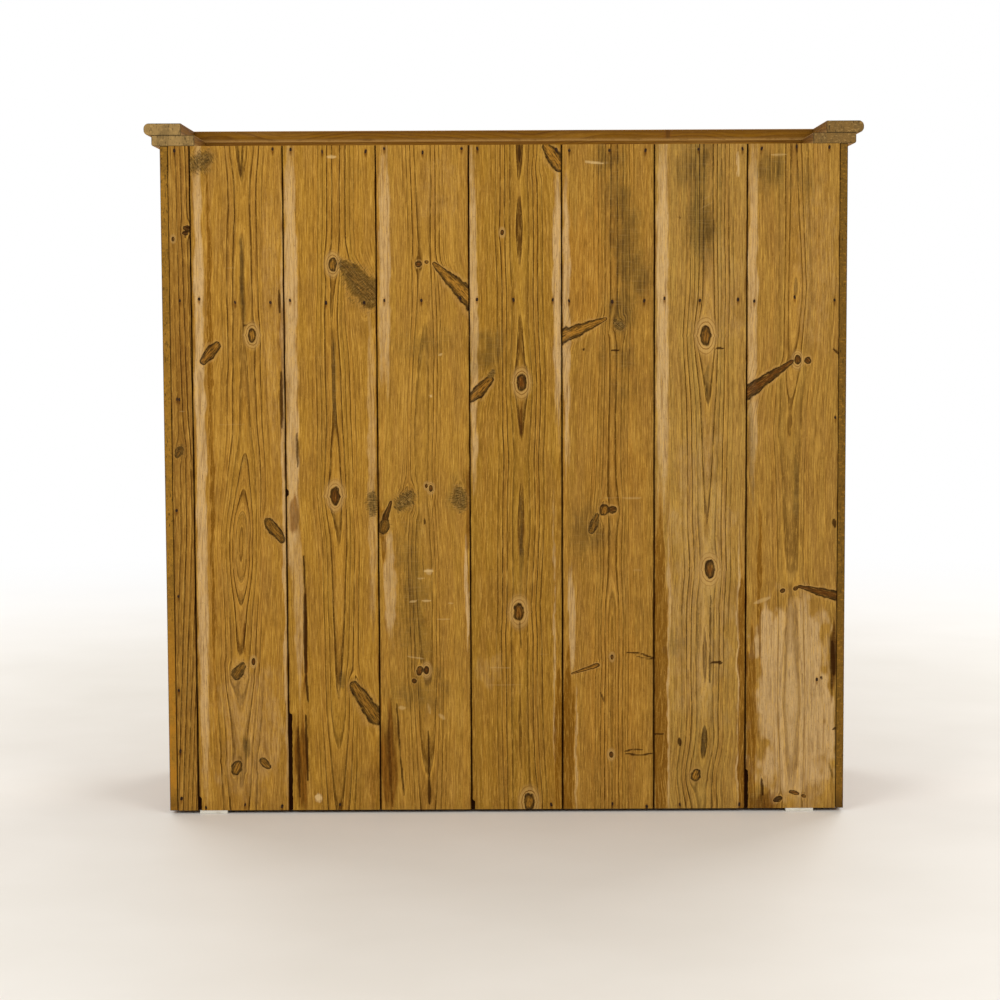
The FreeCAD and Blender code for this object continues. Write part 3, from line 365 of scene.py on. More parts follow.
RINGS = {
    1: Rings(4.7, [(0, 44), (600, 60), (1200, 52)], [(0, 4), (500, 6), (1200, 5)]),
    2: Rings(
        5.4,
        [(0, -7), (288, -3.3), (486, -0.3), (600, 6), (668, 9.3), (787, 9.2), (986, 8.2), (1142, 8.8),
         (1200, 9)],
        [(0, 6.2), (150, 5.5), (288, 4), (383, 3), (422, 2), (455, 1), (492, 0.3), (530, 1), (547, 2),
         (588, 3), (656, 4), (690, 4.5), (787, 4.7), (870, 4.85), (893, 5.04), (925, 4.9), (980, 4.9),
         (1040, 4.97), (1070, 5.04), (1100, 5.12), (1142, 5), (1170, 4.6), (1200, 4.2)],
    ),
    3: Rings(
        5.2,
        [(0, 8), (193, 11), (491, 13), (576, 6), (700, 6.5), (880, 7), (960, 10), (1200, 12.4)],
        [(0, 5.9), (118, 5), (193, 4), (350, 3.5), (491, 3), (556, 2.6), (620, 2.4), (670, 2.5),
         (700, 2.82), (760, 2.87), (830, 2.9), (885, 3), (930, 2.8), (1000, 2.5), (1200, 2.3)],
    ),
    4: Rings(
        4.2,
        [(0, 4), (400, 0), (600, -6), (900, 5), (1200, 0)],
        [(0, 6.4), (168, 5.4), (300, 4.6), (453, 3.9), (560, 4.5), (700, 4.1), (850, 4.8), (1000, 5.6),
         (1200, 5.1)],
    ),
    5: Rings(
        5.3,
        [(0, 11), (170, 7), (366, 4), (530, 8), (780, 10), (1070, 8), (1200, 9)],
        [(0, 4.05), (170, 3.93), (325, 4.05), (366, 4.7), (400, 4.5), (459, 4), (530, 3.75), (599, 4),
         (640, 4.25), (677, 4), (712, 3.82), (750, 3.65), (790, 3.6), (840, 3.75), (880, 3.9), (915, 4.02),
         (950, 4.12), (985, 4.03), (1050, 3.85), (1100, 3.95), (1122, 4.04), (1150, 3.93), (1200, 3.8)],
    ),
    6: Rings(
        4.6,
        [(0, 6), (300, 8), (600, 8), (1200, 10)],
        [(0, 0.9), (200, 0.7), (330, 0.7), (368, 1), (407, 2), (430, 2.45), (505, 2.6), (545, 2.5),
         (640, 2.55), (860, 2.5), (990, 2.4), (1100, 2.5), (1200, 2.55)],
    ),
    7: Rings(
        5.2,
        [(0, 4), (67, -3), (126, 7.5), (237, 7.5), (378, 9), (441, 14), (522, 10.5), (750, 13), (862, 9.5),
         (930, 13), (1200, 13.5)],
        [(0, 4.8), (40, 4.5), (94, 4), (126, 3.8), (158, 4), (185, 4.2), (215, 4.03), (290, 3.9),
         (368, 4.03), (400, 4.2), (441, 4.5), (470, 4.35), (522, 4), (640, 3.5), (735, 3), (800, 2.5),
         (862, 2.1), (920, 2.3), (1080, 2.45), (1200, 2.5)],
    ),
    8: Rings(
        5.5,
        [(0, 2), (400, -3), (700, -6), (945, 5), (1200, 0)],
        [(0, 5.1), (200, 4.4), (400, 5), (600, 4.6), (680, 4), (703, 3.85), (727, 4), (746, 3.9), (796, 3),
         (870, 2.4), (928, 2.02), (945, 1.8), (962, 2.02), (1050, 2.4), (1200, 2.7)],
    ),
}
# How far from the pith line each board's rings stay crisp, in millimetres. Beyond it they fade.
CRISP_TO = {1: 60, 2: 27, 3: 27, 4: 22, 5: 33, 6: 23, 7: 32, 8: 20}
print("rings for", len(RINGS), "boards")

# %% [markdown]
# ## Knots
#
# A knot is the foot of a branch. Cut square across it is a round or oval eye; cut along it is a
# long spike that runs to the board's edge. Both are the same shape here: a bar with a round end
# of its own radius at each of its two ends. The grain flows round a knot as a stream flows round a
# stone. `tone` goes from 0, a grey knot, over 0.5, an orange one, to 1, a dark brown one.

# %% Knot lists
# Each knot: start across and up, end across and up, radius at start and end, tone.
KNOTS = {
    1: [(10, 1056, 16, 1054, 4, 5, 0.9), (7, 1047, 12, 1046, 3, 4, 0.9),
        (-11, 1036, -11, 1037, 2.5, 2.5, 0.9), (-9, 652, -4, 662, 6, 7, 0.3)],
    2: [(-75, 1166, -52, 1179, 13, 13, 0.12), (-62, 820, -38, 848, 9, 9, 0.62),
        (25, 862, 25, 868, 7, 7, 0.55), (50, 530, 74, 500, 10, 9, 0.4), (-11, 254, -1, 269, 11, 8, 0.35),
        (20, 276, 20, 279, 3.5, 3.5, 0.8), (-15, 78, -10, 90, 8, 9, 0.45), (35, 96, 44, 86, 8, 6, 0.4)],
    3: [(5, 989, 5, 992, 7, 7, 0.45), (24, 990, 70, 938, 8, 21, 0.22), (5, 572, 5, 580, 8, 9, 0.75),
        (36, 234, 74, 176, 8, 13, 0.42), (71, 578, 73, 545, 9, 7, 0.1)],
    4: [(20, 991, 96, 918, 3, 15, 0.5), (-8, 990, -6, 990, 5, 5, 0.75), (7, 994, 8, 994, 3, 3, 0.6),
        (-43, 560, -27, 576, 11, 12, 0.1), (-60, 566, -70, 536, 2, 5, 0.9),
        (-71, 526, -73, 516, 10, 9, 0.35), (12, 589, 12, 591, 3.5, 3.5, 0.8),
        (4, 594, 4, 595, 2.5, 2.5, 0.8), (62, 584, 66, 562, 10, 12, 0.12), (-11, 256, -10, 262, 5, 6, 0.75),
        (2, 261, 2, 261.5, 4.5, 4.5, 0.8), (-21, 242, -20, 241, 4, 4, 0.8)],
    5: [(55, 1197, 80, 1160, 9, 13, 0.5), (-23, 1045, -23, 1046, 3, 3, 0.8),
        (10.4, 776, 10.4, 781, 8.4, 8.4, 0.75), (-78, 752, -46, 784, 11, 9, 0.6),
        (-46, 786, -40, 800, 6, 4, 0.15), (4, 363, 4, 368, 9, 9, 0.7), (22, 17, 22, 20, 9, 9, 0.5)],
    6: [(-4, 892, -92, 856, 2.5, 12, 0.55), (14, 886, 22, 878, 6, 8, 0.15), (-7, 548, -6, 552, 8, 8, 0.6),
        (8, 550, 10, 550, 7, 6, 0.85), (-66, 253.5, -19, 269, 1.6, 3.4, 0.6),
        (5, 105, 5, 106, 3.5, 3.5, 0.8), (7, 282, 7, 284, 2.6, 3, 0.8), (-20, 540, -30, 512, 5, 7, 0.35)],
    7: [(9.5, 857, 9.5, 865, 9.5, 9.5, 0.65), (17.5, 438, 17.5, 444, 9, 9.5, 0.72),
        (-8, 63, -5, 71, 8, 8, 0.5)],
    8: [(-2, 814, -92, 752, 3.0, 11, 0.8), (8, 817, 8, 819, 5.5, 5, 0.8), (26, 816, 27, 815, 6, 5, 0.8),
        (14, 410, 92, 390, 2.5, 8.5, 0.82), (-17, 402, -15, 403, 4, 4, 0.9), (6, 406, 8, 407, 4, 4, 0.85),
        (-28, 20, -19, 24, 4, 5, 1.0), (0, 36, 14, 32, 4, 3, 0.75), (22, 29, 26, 27, 3, 3, 0.7)],
}
print("knots:", sum(len(found) for found in KNOTS.values()))

# %% [markdown]
# ## Pale, brown, grey and orange
#
# An old back is never one colour. Sapwood along an edge is pale, damp leaves grey smudges, resin
# and dirt run down in brown streaks, and heartwood glows orange. Each is a soft-edged oval or an
# upright strip: its middle across and up, half its width and half its height, and its strength.

# %% Stain lists
PALE, BROWN, GREY, ORANGE = range(4)
STAINS = {
    1: [(BROWN, 0, 900, 12, 320, 0.4), (GREY, 0, 215, 20, 220, 0.45), (BROWN, -9, 420, 5, 300, 0.25),
        (BROWN, 4, 820, 10, 60, 0.5)],
    2: [(PALE, -69, 650, 10, 600, 0.95), (ORANGE, -50, 700, 5, 560, 0.6), (PALE, 79, 560, 4, 560, 0.75),
        (BROWN, 77, 820, 3.5, 130, 0.6), (GREY, 4.6, 118, 7, 19, 0.95), (GREY, -60, 1172, 34, 30, 0.6),
        (ORANGE, 8, 760, 14, 60, 0.35), (ORANGE, 0, 380, 50, 200, 0.25), (PALE, 10, 150, 62, 130, 0.42),
        (BROWN, 4.8, 322, 2, 36, 0.8), (GREY, 9, 960, 4.4, 84, 1.0), (BROWN, 9, 950, 2.6, 80, 0.6),
        (BROWN, 9, 1062, 1.6, 30, 0.5), (PALE, 58, 900, 16, 260, 0.3), (BROWN, 0, 16, 80, 24, 0.2)],
    3: [(PALE, -70, 800, 12, 420, 0.85), (PALE, -62, 380, 9, 160, 0.6), (BROWN, -51, 335, 2.6, 110, 0.95),
        (BROWN, -61, 90, 13, 88, 0.85), (BROWN, 72, 60, 12, 70, 0.5), (GREY, 6.6, 800, 4.5, 92, 0.9),
        (PALE, -30, 27, 8, 9, 1.0), (GREY, 30, 60, 30, 40, 0.4), (GREY, -20, 955, 20, 40, 0.3),
        (BROWN, -68, 546, 9, 34, 0.8), (PALE, 72, 620, 8, 300, 0.55), (GREY, 16, 248, 6, 17, 0.9),
        (GREY, 50, 1150, 20, 30, 0.35)],
    4: [(PALE, -68, 1000, 11, 220, 0.8), (PALE, -64, 400, 12, 100, 0.75), (BROWN, -66, 85, 16, 96, 0.85),
        (GREY, 10, 848, 70, 34, 0.6), (GREY, -22, 400, 30, 160, 0.9), (GREY, -5, 215, 66, 44, 0.85),
        (PALE, 7, 441, 8, 6, 0.7), (GREY, -33, 566, 40, 32, 0.6), (BROWN, 76, 560, 4, 90, 0.7),
        (PALE, 76, 420, 3.5, 110, 1.0), (GREY, 62, 575, 28, 36, 0.7), (ORANGE, -74, 520, 8, 50, 0.8),
        (PALE, 25, 1120, 45, 70, 0.25), (GREY, -60, 170, 22, 60, 0.4), (GREY, 72, 250, 10, 100, 0.4)],
    5: [(PALE, -75, 900, 8, 300, 0.8), (PALE, 75, 930, 8, 230, 0.95), (ORANGE, 76, 110, 9, 150, 0.9),
        (GREY, -48, 830, 32, 38, 0.9), (GREY, 8.6, 490, 3.6, 108, 0.95), (ORANGE, 8, 330, 34, 60, 0.3),
        (PALE, 68, 330, 2.5, 240, 0.7), (BROWN, 8.5, 1056, 4, 66, 0.5), (BROWN, 9.7, 715, 2.6, 36, 0.9),
        (GREY, 62, 480, 18, 240, 0.25), (PALE, -50, 260, 26, 34, 0.35)],
    6: [(PALE, -74, 900, 7, 260, 0.85), (PALE, -66, 360, 7, 90, 0.8), (ORANGE, -73, 110, 12, 170, 0.95),
        (PALE, -58, 130, 2.5, 150, 0.7), (GREY, 2, 1175, 34, 26, 0.9), (GREY, 18, 1105, 24, 64, 1.0),
        (GREY, 32, 1030, 26, 64, 1.1), (GREY, 44, 978, 28, 56, 1.3), (GREY, 25, 905, 28, 46, 1.1),
        (GREY, 20, 832, 40, 30, 0.7), (GREY, 24, 765, 30, 46, 0.6), (ORANGE, -40, 980, 40, 110, 0.45),
        (PALE, -18, 1168, 26, 3.0, 0.5), (GREY, -36, 505, 30, 60, 0.85), (GREY, 58, 360, 22, 60, 0.35),
        (ORANGE, 15, 620, 60, 60, 0.3), (ORANGE, 10, 210, 56, 170, 0.36)],
    7: [(PALE, -68, 900, 12, 330, 0.9), (ORANGE, -71, 230, 13, 330, 0.95), (PALE, -56, 250, 2.5, 320, 0.75),
        (GREY, -8, 1150, 38, 64, 1.1), (GREY, 0, 1060, 24, 80, 1.1), (ORANGE, 78, 200, 9, 260, 0.95),
        (PALE, 69, 250, 2.5, 300, 0.8), (PALE, 66, 1165, 1.6, 26, 0.95), (GREY, 8, 127, 4.5, 30, 0.9),
        (PALE, 0, 430, 62, 300, 0.4), (GREY, 13, 776, 4.5, 30, 0.9), (PALE, 30, 930, 50, 120, 0.3),
        (PALE, 8, 290, 9, 100, 0.5), (GREY, -40, 310, 22, 26, 0.6), (GREY, 34, 270, 22, 90, 0.35)],
    8: [(PALE, -72, 900, 9, 330, 0.8), (GREY, -48, 1155, 28, 38, 1.1), (GREY, -74, 650, 6, 110, 0.7),
        (ORANGE, -58, 440, 4, 150, 0.8), (PALE, 8, 200, 70, 180, 1.2), (PALE, -34, 322, 38, 52, 1.1),
        (GREY, 10, 230, 90, 190, 0.4), (PALE, 30, 34, 40, 34, 0.5), (GREY, 75, 282, 7, 62, 1.0),
        (BROWN, 76, 282, 6, 70, 1.0), (ORANGE, -72, 120, 9, 190, 1.0), (GREY, 12, 1138, 44, 30, 0.6),
        (PALE, 40, 1000, 40, 190, 0.3), (GREY, 6, 590, 5, 70, 0.7), (BROWN, 20, 640, 60, 80, 0.2),
        (BROWN, -45, 14, 20, 22, 0.8), (GREY, -62, 24, 12, 26, 0.9)],
}
print("stains:", sum(len(found) for found in STAINS.values()))

# %% [markdown]
# ## Cracks, scratches and clenched nails
#
# Thin marks tell of use. Nails that came through from the other side were bent over and show as
# short dark dashes. Boxes pushed against the back left pale scratches. Drying opened a few cracks
# and ran resin down from them. Each mark is one straight stroke: where it starts and ends, half
# its width, and its strength.

# %% Mark lists
DARK, LIGHT = -1, 1
MARKS = {
    1: [(DARK, 14, 1056, 18, 1057, 1.2, 0.9), (DARK, 7, 1048, 18, 1050, 1.0, 0.8),
        (LIGHT, -4, 730, 4, 730, 0.9, 0.5)],
    2: [(DARK, 3.4, 1204, 8.4, 1146, 1.2, 0.6), (DARK, 13.6, 1204, 9.2, 1146, 1.2, 0.6),
        (DARK, 74, 946, 75, 905, 1.3, 0.7), (DARK, 76, 800, 76, 700, 1.6, 0.7),
        (DARK, -74, 1154, -66, 1150, 1.0, 0.5), (LIGHT, -40, 705, 10, 707, 1.0, 0.4),
        (DARK, 16, 884, 10, 882, 1.1, 0.6), (LIGHT, -20, 985, -2, 985, 0.9, 0.4)],
    3: [(DARK, -52, 470, -50.5, 400, 1.0, 0.8), (DARK, -50.5, 400, -51, 257, 1.7, 0.9),
        (DARK, -51, 257, -47, 204, 1.2, 0.8), (DARK, -52, 180, -49, 60, 1.2, 0.8),
        (DARK, -66, 160, -64, 30, 1.4, 0.6), (LIGHT, -34, 30, -27, 28, 3.0, 1.0),
        (LIGHT, -2, 1180, 12, 1180, 1.6, 0.8), (DARK, -60, 1100, -60, 1060, 0.8, 0.4),
        (DARK, -62, 690, -61, 630, 1.3, 0.7), (LIGHT, -50, 826, -6, 825, 0.9, 0.35)],
    4: [(DARK, 4.5, 150, 5.5, 60, 0.9, 0.8), (DARK, 5.5, 60, 6, 16, 1.5, 0.8),
        (DARK, -52, 200, -47, 110, 1.0, 0.7), (DARK, -47, 110, -40, 32, 1.1, 0.7),
        (DARK, -68, 170, -62, 12, 1.6, 0.5), (LIGHT, -1, 441, 15, 441, 1.3, 0.8),
        (LIGHT, -13, 427, -1, 428, 1.0, 0.6), (LIGHT, -5, 387, 10, 387, 1.1, 0.8),
        (LIGHT, -28, 385, -15, 387, 1.2, 0.7), (LIGHT, 42, 383, 51, 382, 1.0, 0.6),
        (LIGHT, 22, 353, 44, 354, 0.9, 0.6), (LIGHT, -32, 286, -3, 282, 1.0, 0.6),
        (LIGHT, -48, 193, -38, 192, 2.2, 0.6), (LIGHT, 28, 828, 34, 830, 1.2, 0.7),
        (LIGHT, 12, 756, 14, 755, 1.5, 0.9), (LIGHT, 25, 180, 34, 172, 2.0, 0.6),
        (LIGHT, 4, 200, 8, 182, 1.6, 0.5), (DARK, 0, 535, 1, 525, 1.0, 0.7)],
    5: [(LIGHT, -50, 266, -12, 264, 1.0, 0.5), (LIGHT, -54, 233, 12, 234, 0.9, 0.45),
        (LIGHT, 40, 290, 58, 288, 0.9, 0.4), (DARK, 5.5, 350, 7.5, 300, 0.9, 0.6),
        (DARK, 8, 1200, 8.5, 1170, 1.2, 0.8)],
    6: [(DARK, 6, 836, 19, 835, 0.9, 1.0), (DARK, -45, 838, -43, 837, 1.4, 0.8),
        (DARK, 33, 292, 58, 290, 0.8, 0.8), (DARK, 58, 290, 82, 281, 0.8, 0.8),
        (DARK, 48, 286, 64, 281, 0.7, 0.6), (DARK, 64, 281, 80, 279, 0.7, 0.6),
        (DARK, 30, 111, 44, 115, 0.8, 0.8), (DARK, 44, 115, 62, 114, 0.8, 0.7),
        (DARK, 32, 107, 58, 103.5, 0.8, 0.8), (DARK, 58, 103.5, 82, 108, 0.8, 0.8),
        (LIGHT, -40, 1170, -8, 1166, 1.2, 0.8), (LIGHT, 25, 571, 60, 571, 1.2, 0.5),
        (LIGHT, -10, 571, 20, 572, 1.1, 0.4), (DARK, -14, 220, -8, 203, 1.1, 0.6),
        (LIGHT, 45, 441, 60, 441, 1.4, 0.4), (DARK, 2, 190, 5, 170, 0.9, 0.4)],
    7: [(DARK, 28, 839, 41, 838, 0.9, 1.0), (DARK, 20, 273, 38, 273, 0.9, 0.9),
        (DARK, 34, 273, 39, 272, 1.6, 1.0), (DARK, -80, 142.5, -66, 142.5, 0.8, 0.9),
        (DARK, -37, 134, -35, 122, 1.8, 0.8), (DARK, 19.8, 395, 18.5, 300, 1.0, 0.6),
        (DARK, 18.5, 300, 18, 235, 1.0, 0.6), (DARK, -4, 395, -3, 277, 0.9, 0.4),
        (LIGHT, 66, 1185, 67, 1142, 1.0, 0.8), (DARK, -38, 1072, -38, 1068, 1.4, 0.5),
        (LIGHT, 0, 1100, 22, 1112, 0.8, 0.4), (LIGHT, -2, 1085, 22, 1098, 0.8, 0.4)],
    8: [(DARK, 72, 837, 81, 828, 0.9, 0.9), (DARK, 76, 150, 82, 153, 1.0, 0.9),
        (DARK, 54, 246, 56, 242, 1.2, 0.8), (LIGHT, -40, 1180, -14, 1181, 1.2, 0.6),
        (DARK, 75, 530, 77, 518, 2.0, 0.8), (DARK, 70, 88, 77, 60, 1.2, 0.5),
        (DARK, -52, 60, -50, 30, 1.3, 0.8), (LIGHT, -30, 150, 40, 168, 1.2, 0.3),
        (DARK, 74, 310, 77, 250, 2.0, 0.8), (LIGHT, -66, 380, -40, 390, 2.0, 0.6)],
}
print("marks:", sum(len(found) for found in MARKS.values()))

# %% [markdown]
# ## Smooth chance and smooth lists
#
# Nothing in a tree is quite regular. `drift` gives smooth random values: random numbers stand on
# the corners of a grid, and a point between them gets an eased blend of the four around it. Each
# use has its own seed, so the boards come out the same at every run. `follow` reads one of the
# lists above at any height and rounds its corners.


# %% Drift and follow
def drift(across, along, cell_across, cell_along, seed):
    """Random values from -1 to 1 that change smoothly over the given cell.

    With f the fraction across a cell and s = f²(3 - 2f) the eased fraction, the value is the blend
    by s of the four corner values around the point.
    """
    lattice = np.random.default_rng(seed).uniform(-1, 1, (97, 89))
    a, b = np.broadcast_arrays(across / cell_across + 31.7, along / cell_along + 12.3)
    i, j = np.floor(a).astype(int), np.floor(b).astype(int)
    s, t = a - i, b - j
    s, t = s * s * (3 - 2 * s), t * t * (3 - 2 * t)

    def corner(di, dj):
        return lattice[(i + di) % 97, (j + dj) % 89]

    low = corner(0, 0) * (1 - s) + corner(1, 0) * s
    high = corner(0, 1) * (1 - s) + corner(1, 1) * s
    return low * (1 - t) + high * t


def follow(pairs, up):
    """The listed value at each height in millimetres: the mean of five readings 16 mm apart."""
    heights, values = zip(*pairs)
    return np.mean([np.interp(up + shift, heights, values) for shift in (-16, -8, 0, 8, 16)], axis=0)


print("the pith of board 2 lies", round(float(follow(RINGS[2].depth, 600)), 2), "rings deep at 600 mm")

# %% [markdown]
# ## Where the nails are
#
# Cut nails hold the back boards to the top, the counter board and the bottom, so they stand in
# three rows, with a few strays. Their heads are small, dark and driven flush, and each has bled a
# little rust into the wood below it. The places are listed here because both the wood's stains
# and the heads themselves follow them.

# %% Nail places
# Along each row, as x in millimetres, and the strays as x and z.
TOP_NAILS = [584, 410, 378, 322, 245, 212, 144, 75, 47, -93, -116, -187, -251, -345, -423, -457, -519, -577]
WAIST_NAILS = [578, 544, 480, 417, 382, 318, 250, 214, 148, 79, 49, -16, -86, -115, -192, -249, -285, -348,
               -416, -445, -517, -588]
FOOT_NAILS = [545, 474, 407, 302, -81, -192, -254, -314, -422]
STRAY_NAILS = [(586, 752), (582, 751), (590, 552), (589, 397), (591, 226), (590, 115), (589, 28),
               (-591, 714), (-561, 241)]
ROW_HEIGHTS = {1191: TOP_NAILS, 926: WAIST_NAILS, 13: FOOT_NAILS}

nail_chance = np.random.default_rng(7)
NAILS = [(x, z + nail_chance.uniform(-4, 4)) for z, row in ROW_HEIGHTS.items() for x in row] + STRAY_NAILS
print(len(NAILS), "nails")

# %% [markdown]
# ## The grain of a back board
#
# The next cells are the heart of the back. They take arrays of places on one board, u across from
# the face's middle and z up, and give back what the finish needs to know at each place. Where a
# knot stands, the place across is moved away from it before the rings are counted: the further
# out, the less, by knot radius squared over distance squared. That is the rule for a stream round
# a post. Each place also keeps how far the nearest knot is, counted in that knot's radius, the
# knot's tone, and where it lies along and across the knot, for the knot's own fibres.

# %% Grain round the knots
FAR_OFF = 4.0
PUSH = 1.15
EYE_TALL = 1.5


def beside(stroke, u, z):
    """Places along and across a straight stroke, the nearest place on it, and how far off that is."""
    u0, z0, u1, z1 = stroke
    length = math.hypot(u1 - u0, z1 - z0)
    way_u, way_z = (u1 - u0) / length, (z1 - z0) / length
    along = (u - u0) * way_u + (z - z0) * way_z
    across = (u - u0) * way_z - (z - z0) * way_u
    held = np.clip(along, 0, length)
    return along, across, held / length, u - u0 - held * way_u, z - z0 - held * way_z


def knot_radius(knot, share):
    """A knot's radius at a share of its length: from the first to the second, drawn in at both ends."""
    u0, z0, u1, z1, r0, r1, _ = knot
    length = math.hypot(u1 - u0, z1 - z0)
    drawn_in = 0.5 * length / (length + r0 + r1) if r1 < 1.6 * r0 else 0.0
    return (r0 + (r1 - r0) * np.sin(share * math.pi / 2)) * (1.08 - drawn_in * (1 - np.sin(share * math.pi)))


def round_the_knots(order, u, z):
    """The place across as the rings see it, and the values nearest, tone, in_knot and eye.

    A knot pushes the place across by PUSH times the distance across, over (distance / radius)².
    nearest is the distance in knot radii, no more than FAR_OFF. eye is the same for the knots that
    are cut square across, with heights counted as two thirds, because an eye is a tall oval.
    """
    moved = u + 1.8 * drift(u, z, 60, 240, 40 + order) + 0.4 * drift(u, z, 16, 90, 50 + order)
    nearest, eye = np.full(u.shape, FAR_OFF), np.full(u.shape, FAR_OFF)
    tone, in_knot = np.zeros(u.shape), np.zeros((3, *u.shape))
    for number, knot in enumerate(KNOTS[order]):
        along, across, share, off_u, off_z = beside(knot[:4], u, z)
        radius = knot_radius(knot, share)
        spread = np.maximum((off_u**2 + (off_z / 2.4) ** 2) / radius**2, 0.55)
        moved = moved - PUSH * off_u / spread * np.exp(-0.04 * spread)
        is_eye = abs(knot[2] - knot[0]) < 1
        reach = np.hypot(off_u, off_z / (EYE_TALL if is_eye else 1.0)) / radius
        if is_eye:
            eye = np.minimum(eye, reach)
        reach = reach * (1 + 0.16 * drift(u, z, 7, 9, 60 + order + 3 * number))
        closer = reach < nearest
        tone = np.where(closer, knot[6], tone)
        in_knot = np.where(closer, np.stack([along, across, 0 * u + 37.0 * number + 11.0 * order]), in_knot)
        nearest = np.minimum(nearest, reach)
    return moved, nearest, tone, in_knot, eye


half_way = knot_radius(KNOTS[2][0], 0.5)
print("half way along, the first knot of board 2 has a radius of", round(float(half_way), 1), "mm")

# %% [markdown]
# Now the rings are counted. A tree never grows evenly, so the count drifts a little from year to
# year, and more so away from the heart, where the years are narrow. Near the heart the lines are
# crisp. Towards the edges the saw ran nearly along the rings, and they fade into plain fibre.

# %% Ring numbers
WIDER_EVERY = 220
FADE_OVER = 16
FADED_BY = 0.86


def ring_numbers(order, moved, u, z, deep):
    """The ring number of each place, and how crisp its rings are, from 0 to 1.

    The ring number is √((across / width)² + (depth + deep / width)²), with the place across moved
    round the knots and deep behind the back face. The width grows with the distance from the pith:
    by the whole of itself for every WIDER_EVERY millimetres.
    """
    rings = RINGS[order]
    from_pith = moved - follow(rings.pith, z)
    across = from_pith / rings.width / (1 + np.abs(from_pith) / WIDER_EVERY)
    depth = follow(rings.depth, z) + deep / rings.width
    depth = depth + 0.04 * drift(0 * z, z, 1, 55, 70 + order)
    ring = np.sqrt(across**2 + np.maximum(depth, 0.0) ** 2)
    from_depth = np.clip((ring - depth) / 0.5, 0, 1)
    uneven = 0.22 * drift(u, z, 34, 300, 80 + order) + 0.30 * drift(ring, 0 * ring, 1.7, 1, 90 + order)
    ring = ring + from_depth * uneven

    plain = (np.abs(from_pith) - CRISP_TO[order] + 7 * drift(u, z, 30, 150, 95 + order)) / FADE_OVER
    crisp = (1 - FADED_BY * np.clip(plain, 0, 1)) * (1 - 0.45 / (1 + (across / 0.45) ** 2))
    return ring, crisp


beside_pith = follow(RINGS[2].pith, 600.0) + np.array([[0.0, 20.0, 40.0]])
beside_rings, _ = ring_numbers(2, beside_pith, beside_pith, 600.0 + 0 * beside_pith, 0.0)
print("ring numbers of board 2 at 0, 20 and 40 mm from its pith:", beside_rings[0].round(1).tolist())

# %% [markdown]
# Stains and marks come from their lists. A stain's outline is not a clean oval: a narrow or a
# resinous one is pulled out along the fibres, and a broad one is ragged like a cloud. Below each
# nail stands a drop of rust. Dirt gathers beside the joints, in a thin line right at the edge, and
# the lowest few centimetres are made a little browner, in a band with a wavy top.

# %% Stains
BROAD = 10
SLENDER = 12


def stain_values(order, middle, half, u, z):
    """The four stains at each place. A stain is full inside its oval and falls off softly round it.

    An oval is |across / half width|ⁿ + |up / half height|ⁿ, with n 2 for a grey cloud, 2.5 else.
    """
    stains = np.zeros((4, *u.shape))
    run_u = u + 2.6 * drift(u, z, 9, 40, 100 + order) + 1.2 * drift(u, z, 3.5, 14, 101 + order)
    streaks = drift(u, z, 4.5, 240, 110 + order) + 0.5 * drift(u, z, 2.2, 60, 111 + order)
    cloud_u = drift(u, z, 17, 34, 102 + order) + 0.5 * drift(u, z, 6, 13, 103 + order)
    cloud_z = drift(u, z, 19, 30, 104 + order) + 0.5 * drift(u, z, 7, 11, 105 + order)
    for kind, middle_u, middle_z, half_u, half_z, strength in STAINS[order]:
        if kind in (BROWN, ORANGE) or half_u < BROAD or half_z > SLENDER * half_u:
            near_u, near_z = run_u, z + min(0.4 * half_z, 45) * streaks
        else:
            near_u, near_z = u + 0.38 * half_u * cloud_u, z + 0.38 * min(half_z, 60) * cloud_z
        is_cloud = kind == GREY and half_u >= BROAD
        power = 2.0 if is_cloud else 2.5
        oval = np.abs((near_u - middle_u) / half_u) ** power + np.abs((near_z - middle_z) / half_z) ** power
        soft = np.exp(-0.9 * oval) if is_cloud else np.clip(1.45 - oval, 0, 1)
        stains[kind] = np.maximum(stains[kind], strength * soft)

    for nail_x, nail_z in NAILS:
        nail_u = middle - nail_x
        if abs(nail_u) < half + 4:
            rust = np.clip(1.5 - np.hypot((u - nail_u) / 2.6, (z - nail_z + 2.5) / 8.5), 0, 1)
            stains[BROWN] = np.maximum(stains[BROWN], 0.85 * rust)
    to_edge = half - np.abs(u)
    grime = np.clip(1 - to_edge / 3.5, 0, 1) * (0.45 + 0.6 * drift(u, z, 900, 26, 112 + order))
    # Browner over the lowest few centimetres, in a band with a wavy top.
    low_band = np.clip(1 - (z + 18 * drift(u, z, 22, 30, 115 + order)) / 55, 0, 1) * 0.3
    stains[BROWN] = np.maximum(stains[BROWN], np.maximum(grime, low_band))
    return stains


spot_u, spot_z = np.array([[4.6]]), np.array([[118.0]])
spot = stain_values(2, 0.0, 82.0, spot_u, spot_z)[:, 0, 0].round(2).tolist()
print("pale, brown, grey and orange in the grey spot low on board 2:", spot)


